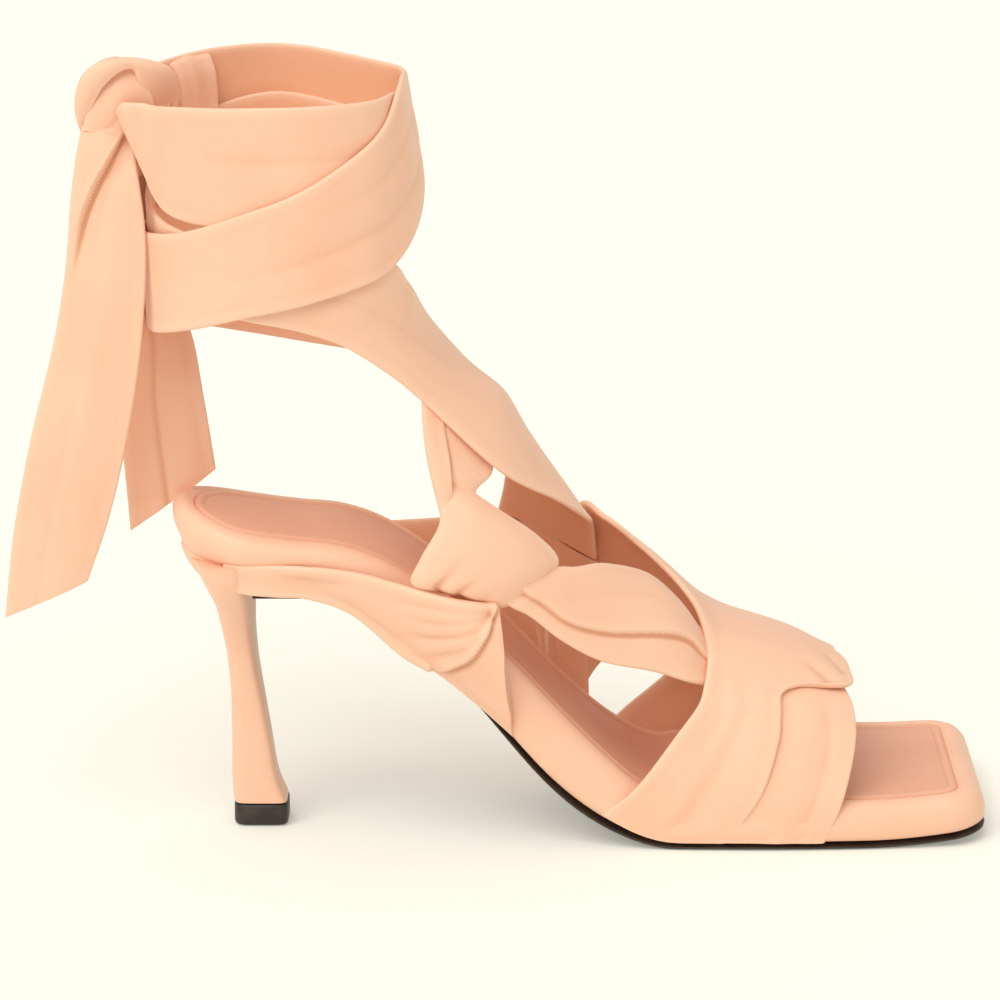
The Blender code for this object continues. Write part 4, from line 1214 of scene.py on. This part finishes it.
outerWing = band | {
    "wall": 1.8,
    "across": 96,
    "steps": 16,
    "rows": [
        (0.072, 10.2, 0.072, 3.0, -3.6, -3.8),
        (0.1005, 10.1, 0.1005, 2.2, -1.5, -1.7),
        (0.135, 10.2, 0.135, 1.9, -0.4, -0.5),
        (0.18, 10.5, 0.175, 1.4),
        (0.236, 12.2, 0.226, -0.6, 0.2, 0.2, 0.4),
        (0.286, 17.0, 0.284, -4.0, 0.8, 0.8, 0.8),
        (0.333, 24.0, 0.331, -1.2, 1.2, 1.2, 1.2),
        (0.372, 31.0, 0.378, 1.4, 0.8, 0.8, 1.0),
        (0.402, 37.5, 0.424, 2.6, 0.0, 0.0, 0.3),
    ],
    "folds": [
        # the gathered part ends over the plain panel
        (
            "lap", 1.5, -16.0, 0.0, 0.0,
            [(5.4, 1.12), (5.83, 0.98), (6.5, 0.7), (7.0, 0.47), (7.33, 0.28), (7.67, 0.11), (8.0, -0.04)],
        ),
        ("crease", 0.7, 1.9, 1.8, 0.0, [(4.0, 0.31), (5.0, 0.19), (6.0, 0.1), (7.6, 0.05)]),
        ("crease", 0.85, 1.9, 1.6, 0.0, [(4.5, 0.42), (5.5, 0.33), (6.5, 0.2), (7.6, 0.07)]),
        ("crease", 1.0, 2.0, 1.8, 0.0, [(4.33, 0.67), (5.33, 0.58), (6.5, 0.33), (7.6, 0.09)]),
        ("crease", 0.7, 2.2, 1.0, 0.3, [(5.2, 0.84), (5.8, 0.74), (6.5, 0.5), (7.4, 0.2)]),
    ],
}
innerWing = band | {
    "wall": 1.8,
    "rows": [
        (0.072, 9.6, 0.072, 3.0, -3.6, -3.8),
        (0.1005, 9.4, 0.1005, 2.2, -1.5, -1.7),
        (0.135, 9.3, 0.135, 1.9, -0.4, -0.5),
        (0.18, 9.5, 0.175, 1.4),
        (0.25, 12.8, 0.24, 0.0),
        (0.3, 21.0, 0.29, -0.6),
        (0.35, 32.0, 0.345, 0.0),
        (0.4, 45.0, 0.405, 2.6, 0.2, 0.2),
        (0.432, 51.0, 0.47, 2.6, 0.4, 0.4),
    ],
    "folds": [
        ("crease", 0.4, 2.6, 1.4, 0.8, [(4.5, 0.45), (6.0, 0.35), (8.0, 0.3)]),
        ("crease", 0.4, 2.6, 1.4, 0.8, [(5.0, 0.7), (6.5, 0.6), (8.0, 0.58)]),
    ],
}
sideKnot = band | {
    "wall": 1.8,
    "steps": 16,
    "soft": 0.15,
    "hollow": 0.8,
    "rows": [
        (-54.0, 0.722, -46.0, 0.722, -1.8, -1.2),
        (-55.4, 0.694, -46.4, 0.698, 0.0, 0.3, 1.4),
        (-58.6, 0.65, -43.6, 0.664, 1.6, 1.8, 3.6),
        (-65.5, 0.59, -39.0, 0.612, 2.4, 2.4, 6.0),
        (-68.5, 0.543, -37.5, 0.562, 2.0, 2.0, 7.0),
        (-63.5, 0.517, -44.5, 0.52, 1.0, 1.0, 5.0),
        (-57.5, 0.49, -51.5, 0.492, -1.0, -1.0, 1.6),
    ],
    "folds": [
        (
            "crease", 1.5, 1.7, 1.8, 0.0,
            [(5.0, 0.02), (4.6, 0.07), (4.17, 0.11), (3.67, 0.175), (2.7, 0.3)],
        ),
        ("crease", 1.6, 1.7, 1.5, 0.0, [(5.6, 0.1), (5.0, 0.15), (4.5, 0.2), (4.0, 0.3), (3.4, 0.46)]),
        ("crease", 0.6, 3.0, 0.9, 0.0, [(5.6, 0.28), (4.8, 0.36), (4.2, 0.5)]),
    ],
}

footStraps = {
    "toeBand": (toeBand, footPoint),
    "vamp": (vamp, footPoint),
    "frontBand": (frontBand, footPoint),
    "twistedBand": (twist, footPoint),
    "innerBand": (innerBand, footPoint),
    "outerWing": (outerWing, nearFlank),
    "innerWing": (innerWing, farFlank),
    "sideKnot": (sideKnot, legPoint),
}
for pieceName, (bandLook, bandForm) in footStraps.items():
    dress(laidStrap(pieceName, bandForm, bandLook), "upper", softLeather)
print("straps of the foot made")

outerTie = band | {
    "wall": 1.6,
    "steps": 7,
    "soft": 0.3,
    "rows": [
        (-57.0, 0.655, -45.4, 0.668, 0.2, 0.2, 1.6),
        (-55.4, 0.7, -45.6, 0.702, 0.0, 0.0, 1.2),
        (-52.6, 0.79, -35.8, 0.735, 0.0, 0.0, 0.4),
        (-46.0, 0.885, -28.0, 0.785, -0.6, -0.6),
        (-24.0, 0.945, -8.0, 0.825, -1.6, -1.6),
        (12.0, 1.0, 15.0, 0.855, -1.6, -1.6),
        (45.0, 1.053, 45.0, 0.875, -1.2, -1.2),
        (90.0, 1.093, 90.0, 0.905, -0.6, -0.6),
        (135.0, 1.14, 135.0, 0.95, 0.6, 0.6),
        (170.0, 1.173, 166.0, 0.99, 2.2, 2.2),
        (200.0, 1.18, 200.0, 1.0, 2.6, 2.6),
        (229.0, 1.203, 229.0, 1.029, 2.6, 2.6),
        (255.0, 1.247, 255.0, 1.064, 2.6, 2.6),
        (277.0, 1.29, 277.0, 1.089, 2.6, 2.6),
        (300.0, 1.352, 300.0, 1.117, 2.6, 2.6),
        (315.0, 1.396, 315.0, 1.14, 2.6, 2.6),
        (333.0, 1.45, 333.0, 1.183, 2.6, 2.6),
        (355.0, 1.457, 357.0, 1.23, 2.6, 2.6),
        (375.0, 1.452, 375.0, 1.275, 2.6, 2.6),
        (405.0, 1.447, 405.0, 1.313, 2.2, 2.2),
        (450.0, 1.47, 450.0, 1.353, 1.8, 1.8),
        (480.0, 1.47, 480.0, 1.363, 1.8, 1.8),
        (510.0, 1.46, 510.0, 1.367, 1.8, 1.8, 0.6),
        (531.0, 1.447, 531.0, 1.38, 2.6, 2.6, 1.2),
    ],
    "folds": [
        # the twist over the knot
        ("lap", 1.5, -6.0, 0.0, 1.6, [(0.0, 0.36), (1.0, 0.34), (1.8, 0.3), (2.6, 0.27), (3.2, 0.25)]),
        ("crease", 1.5, 1.8, 0.3, 0.8, [(0.4, 0.42), (1.0, 0.42), (1.7, 0.37)]),
        ("crease", 0.4, 3.2, 2.0, 2.0, [(11.0, 0.6), (15.0, 0.66), (18.5, 0.72)]),
        ("crease", 0.3, 3.2, 2.0, 2.0, [(13.0, 0.3), (16.0, 0.32), (19.0, 0.3)]),
    ],
}
innerTie = band | {
    "wall": 1.6,
    "steps": 8,
    "soft": 0.3,
    "firstRows": [
        (0.5244, 0.461, 0.4055, 0.695),
        (0.518, 0.25, 0.413, 0.59),
        (0.508, 0.01, 0.415, 0.48),
        (0.471, -0.18, 0.41, 0.38, 0.2, 0.2),
        (0.405, -0.415, 0.402, 0.26, 0.5, 0.5),
    ],
    "rows": [
        (-46.5, 0.873, 12.0, 0.93, 0.8, 0.8),
        (-54.5, 0.935, -5.0, 1.01, 0.8, 0.8),
        (-69.0, 1.0, -27.0, 1.09, 0.4, 0.4),
        (-84.5, 1.033, -47.0, 1.15, 0.2, 0.2),
        (-110.0, 1.055, -90.0, 1.195),
        (-140.0, 1.07, -135.0, 1.198),
        (-180.0, 1.095, -180.0, 1.235),
        (-220.0, 1.13, -220.0, 1.335),
        (-260.0, 1.17, -260.0, 1.381),
        (-300.0, 1.205, -300.0, 1.358),
        (-340.0, 1.23, -340.0, 1.395, 0.4, 0.4),
        (-380.0, 1.237, -380.0, 1.44, 0.8, 0.8),
        (-410.0, 1.237, -410.0, 1.443, 0.8, 0.8),
        (-440.0, 1.233, -440.0, 1.443, 0.8, 0.8),
        (-470.0, 1.223, -470.0, 1.438, 0.8, 0.8),
        (-498.0, 1.232, -495.0, 1.43, 0.9, 0.9),
        (-512.0, 1.264, -508.0, 1.425, 1.6, 1.6, 0.8),
        (-516.0, 1.308, -513.0, 1.428, 3.6, 3.6, 0.8),
        (-519.0, 1.372, -516.0, 1.43, 6.6, 7.0, 0.6),
        (-521.0, 1.412, -519.0, 1.43, 8.2, 8.6, 0.2),
    ],
    "folds": [
        ("crease", 0.45, 0.7, 0.0, 0.0, [(0.0, 0.6), (0.9, 0.6)]),
        ("crease", 0.3, 3.2, 1.5, 1.5, [(4.5, 0.5), (7.5, 0.45), (10.0, 0.5)]),
        ("crease", 0.35, 3.2, 1.5, 1.5, [(14.0, 0.6), (17.0, 0.55), (20.0, 0.6)]),
    ],
}
dress(laidStrap("outerTie", legPoint, outerTie), "ankle_tie", softLeather)
dress(laidStrap("innerTie", legPoint, innerTie, footPoint), "ankle_tie", softLeather)
print("ties of the ankle made")

tieKnot = {
    "place": (-0.1815, -0.017, 0.212),
    "drop": 0.142,
    "endFold": 0.0016,  # how far a hanging end bends along its middle
}
nearEnd = band | {
    "cut": 0.011,
    "wall": 1.5,
    "across": 96,
    "steps": 24,
    "soft": 0.3,
    "insideFolds": 1.0,
    # down: share of the drop; back, front, out in mm from the knot; turn
    "rows": [
        (0.0, -6.5, 2.5, 1.0, 2.0),
        (0.1, -9.5, 5.0, 6.5, -2.0),
        (0.26, -12.2, 7.8, 8.5, -6.0),
        (0.46, -17.2, 6.0, 8.5, -6.0),
        (0.66, -24.6, 1.5, 7.5, -3.0),
        (0.86, -30.6, -4.5, 6.0, -2.0),
        (1.037, -33.8, -11.5, 5.0, -1.0),
    ],
    "folds": [
        # the band turns over itself under the knot
        (
            "lap", 2.4, -9.0, 0.0, 0.9,
            [(0.2, 1.04), (0.5, 0.9), (1.04, 0.54), (1.4, 0.3), (1.82, 0.14), (2.5, 0.07)],
        ),
        ("crease", 1.6, 4.2, 0.2, 1.5, [(0.5, 1.02), (0.9, 0.8), (1.3, 0.5), (1.9, 0.34), (2.6, 0.28)]),
        ("ridge", 0.6, 3.5, 1.0, 1.5, [(1.8, 0.55), (3.5, 0.5), (5.0, 0.5)]),
        ("crease", 0.4, 3.0, 1.2, 0.0, [(3.0, 0.4), (4.5, 0.36), (6.0, 0.38)]),
    ],
}
farEnd = band | {
    "cut": 0.018,
    "wall": 1.5,
    "across": 48,
    "steps": 18,
    "soft": 0.3,
    "insideFolds": 1.0,
    # as above
    "rows": [
        (0.0, -4.0, 3.0, -9.0, 4.0),
        (0.12, -3.0, 6.0, -14.0, 14.0),
        (0.28, -1.5, 8.0, -16.5, 17.0),
        (0.38, -1.0, 8.2, -17.5, 17.0),
        (0.45, -0.8, 10.0, -18.0, 16.0),
        (0.52, -0.8, 17.0, -16.5, 8.0),
        (0.66, -1.4, 20.8, -15.0, 0.0),
        (0.895, 0.7, 24.2, -15.0, -1.0),
    ],
    "folds": [
        (
            "crease", 0.8, 1.8, 0.8, 0.0,
            [(2.0, 0.6), (3.6, 0.55), (5.0, 0.46), (6.0, 0.42), (7.0, 0.44)],
        ),
        ("ridge", 0.5, 3.5, 0.8, 0.0, [(4.5, 0.72), (7.0, 0.74)]),
    ],
}


def hangingEnd(name, look):
    place, drop = tieKnot["place"], tieKnot["drop"]
    lowest = look["rows"][-1][0]
    grid = []
    for down, back, front, out, turn in look["rows"]:
        line = []
        for t in np.linspace(0.0, 1.0, acrossCount):
            x = place[0] + (back + (front - back) * t) * mm
            bend = tieKnot["endFold"] * math.sin(math.pi * t)
            y = place[1] - bend - (out - (t - 0.5) * turn) * mm
            rise = look["cut"] * t * (down / lowest) ** 3
            line.append((x, y, place[2] - down * drop + rise))
        grid.append(line)
    tieEndStrap(name, grid, [0.0] * len(grid), look)


def tieEndStrap(name, grid, puffs, look):
    away = np.tile((0.0, -1.0, 0.0), (len(grid), acrossCount, 1))
    dress(strap(name, np.array(grid), puffs, away, look), "tie_ends", softLeather)


backKnot = band | {
    "wall": 1.4,
    "across": 40,
    "steps": 8,
    "hollow": 0.6,
    # each row: one edge and the other edge in mm from the knot's place, then the puff
    "faceRows": [
        (1.2, -1.5, 11.2, 3.0, -1.5, 11.4, 0.0),
        (-1.7, -5.0, 8.2, 6.5, -5.0, 9.6, 1.0),
        (-4.2, -6.4, 5.0, 8.9, -6.2, 5.7, 1.8),
        (-6.2, -6.6, 1.6, 10.6, -6.2, 1.8, 2.0),
        (-7.2, -6.4, -1.6, 9.5, -6.2, -1.6, 1.6),
        (-8.2, -5.6, -6.0, 5.0, -6.0, -6.6, 1.0),
    ],
    "loopRows": [
        (-9.2, -2.0, -7.0, -8.0, -2.0, -6.4, 0.0),
        (-9.9, -4.6, -2.6, -7.6, -4.8, -3.2, 0.3),
        (-10.0, -6.4, 1.4, -6.8, -6.8, 0.0, 0.6),
        (-9.4, -7.6, 5.4, -5.1, -8.0, 3.4, 0.9),
        (-7.8, -8.2, 9.2, -3.1, -8.8, 6.7, 1.0),
        (-4.8, -8.2, 12.0, -0.3, -8.9, 9.5, 1.0),
        (-1.0, -7.8, 13.2, 2.6, -8.6, 11.2, 0.8),
        (4.4, -7.0, 13.6, 5.2, -7.8, 11.0, 0.6),
        (10.6, -5.6, 12.6, 7.2, -6.8, 7.6, 0.6),
        (15.6, -3.4, 9.6, 8.8, -6.0, 4.4, 0.5),
        (17.4, -1.0, 2.0, 10.6, -4.6, 0.4, 0.2),
    ],
    "faceFolds": [("crease", 0.5, 2.0, 1.0, 0.0, [(3.0, 0.55), (5.0, 0.48)])],
    "core": (10.6, 7.2, 9.4),
    "coreShift": (0.4, 1.0, 3.6),
    "coreFold": 0.13,
    # the grooves wind with the turn and the tilt, in radians
    "perTurn": 1.5,
    "perTilt": 1.1,
    "from": 0.6,
    "sharpness": 0.45,
}


def knotBand(name, rows, folds):
    grid = []
    for row in rows:
        a, b = Vector(row[:3]), Vector(row[3:6])
        line = [a.lerp(b, j / (acrossCount - 1)) * mm for j in range(acrossCount)]
        grid.append([Vector(tieKnot["place"]) + point for point in line])
    tieEndStrap(name, grid, [row[6] for row in rows], backKnot | {"folds": folds})


def makeKnotCore():  # the turns inside the knot, seen from behind
    bpy.ops.object.select_all(action="DESELECT")
    bpy.ops.mesh.primitive_uv_sphere_add(segments=96, ring_count=64, radius=1.0)
    piece = bpy.context.object
    piece.name = piece.data.name = "knotCore"
    shades = []
    for point in piece.data.vertices:
        turn = math.atan2(point.co.y, point.co.x)
        tilt = math.asin(max(-1.0, min(1.0, point.co.z)))
        wound = backKnot["perTurn"] * turn + backKnot["perTilt"] * tilt + backKnot["from"]
        groove = abs(math.sin(wound)) ** backKnot["sharpness"]
        # the grooves between the turns are painted darker as shade
        shades.append((groove - 1.0) * 0.9)
        grown = 1.0 + (groove - 0.8) * backKnot["coreFold"] * math.cos(tilt)
        sizes = zip(point.co, backKnot["core"], backKnot["coreShift"])
        spot = [at * grown * half + shift for at, half, shift in sizes]
        point.co = Vector(tieKnot["place"]) + Vector(spot) * mm
    markAll(piece, shades)
    smooth(piece)
    dress(piece, "tie_ends", softLeather)


# the tie taken once over the ankle band beside the knot
knotWrap = band | {
    "wall": 1.4,
    "steps": 8,
    # turn, up at both edges, then the distance from the leg
    "rows": [
        (125.0, 1.2, 168.0, 1.2, -0.6),
        (125.0, 1.32, 167.0, 1.32, -0.7),
        (125.5, 1.415, 166.0, 1.405, -0.8),
        (126.0, 1.448, 165.0, 1.438, 0.4),
        (126.0, 1.458, 165.0, 1.447, 2.2),
        (126.0, 1.445, 165.0, 1.434, 4.2),
        (125.5, 1.36, 166.0, 1.36, 4.5),
        (125.0, 1.24, 168.0, 1.26, 4.2),
    ],
    "folds": [
        ("crease", 0.9, 1.2, 0.0, 0.0, [(0.0, 0.62), (2.5, 0.68), (4.0, 0.7), (7.0, 0.66)]),
        ("crease", 0.9, 1.2, 0.0, 0.0, [(0.0, 0.46), (2.5, 0.52), (4.0, 0.54), (7.0, 0.5)]),
        ("ridge", 0.5, 2.4, 0.0, 0.0, [(0.0, 0.25), (3.0, 0.28), (7.0, 0.24)]),
    ],
}


def makeKnotWrap():
    grid, away = [], []
    for *edges, lift in knotWrap["rows"]:
        line = layRow(legPoint, (*edges, lift, lift))
        side = -1.0 if lift < 0.5 else 1.0
        grid.append(line)
        away.append([side * outwards(legPoint, point) / outwardReach for point in line])
    piece = strap("knotWrap", np.array(grid), [0.0] * len(grid), np.array(away), knotWrap)
    dress(piece, "tie_ends", softLeather)


makeKnotCore()
knotBand("knotFace", backKnot["faceRows"], backKnot["faceFolds"])
knotBand("knotLoop", backKnot["loopRows"], [])
makeKnotWrap()
hangingEnd("nearTieEnd", nearEnd)
hangingEnd("farTieEnd", farEnd)
print("knot and hanging ends made")

studio = {
    "cameraPlace": (-0.075, -1.212, 0.437),
    "cameraTarget": (-0.075, -0.012, 0.0964),
    "lens": 157.2,
    "sensor": 36.0,
    "nearest": 0.05,
    "floorSize": 16,
    "floorPlace": (0, 0, -0.0002),
    "floor": (0.74, 0.73, 0.66),
    "glow": (1.0, 0.98, 0.89),
    "glowStrength": 0.26,
    "sky": (1.0, 0.99, 0.935),
    "skyStrength": 0.66,
    "key": (1.0, 0.97, 0.92),
    "keyAngles": (38, 0, -32),  # degrees
    "keyStrength": 1.75,
    "keySoftness": 50,
}


def makeStudio():
    scene = bpy.context.scene
    bpy.ops.object.camera_add(location=studio["cameraPlace"])
    camera = bpy.context.object
    aim = Vector(studio["cameraTarget"]) - Vector(studio["cameraPlace"])
    camera.rotation_euler = aim.to_track_quat("-Z", "Y").to_euler()
    camera.data.lens = studio["lens"]
    camera.data.sensor_width = studio["sensor"]
    camera.data.clip_start = studio["nearest"]
    scene.camera = camera
    bpy.ops.mesh.primitive_plane_add(size=studio["floorSize"], location=studio["floorPlace"])
    floor = bpy.context.object
    floor.name = "studioFloor"
    material, tree, shader = newFinish("studioFloor")
    inputs = {
        "Base Color": studio["floor"],
        "Roughness": 0.9,
        "Specular IOR Level": 0.1,
        "Emission Color": studio["glow"],
        "Emission Strength": studio["glowStrength"],
    }
    feedAll(tree, shader, inputs)
    floor.data.materials.append(material)
    world = bpy.data.worlds.new("studioSky")
    world.use_nodes = True
    sky = world.node_tree.nodes["Background"]
    feedAll(world.node_tree, sky, {"Color": studio["sky"], "Strength": studio["skyStrength"]})
    scene.world = world
    key = bpy.data.lights.new("keyLight", "SUN")
    key.energy = studio["keyStrength"]
    key.angle = math.radians(studio["keySoftness"])
    key.color = studio["key"]
    lamp = bpy.data.objects.new("keyLight", key)
    lamp.rotation_euler = [math.radians(a) for a in studio["keyAngles"]]
    scene.collection.objects.link(lamp)
    scene.view_settings.view_transform = "Standard"
    scene.view_settings.look = "None"


makeStudio()
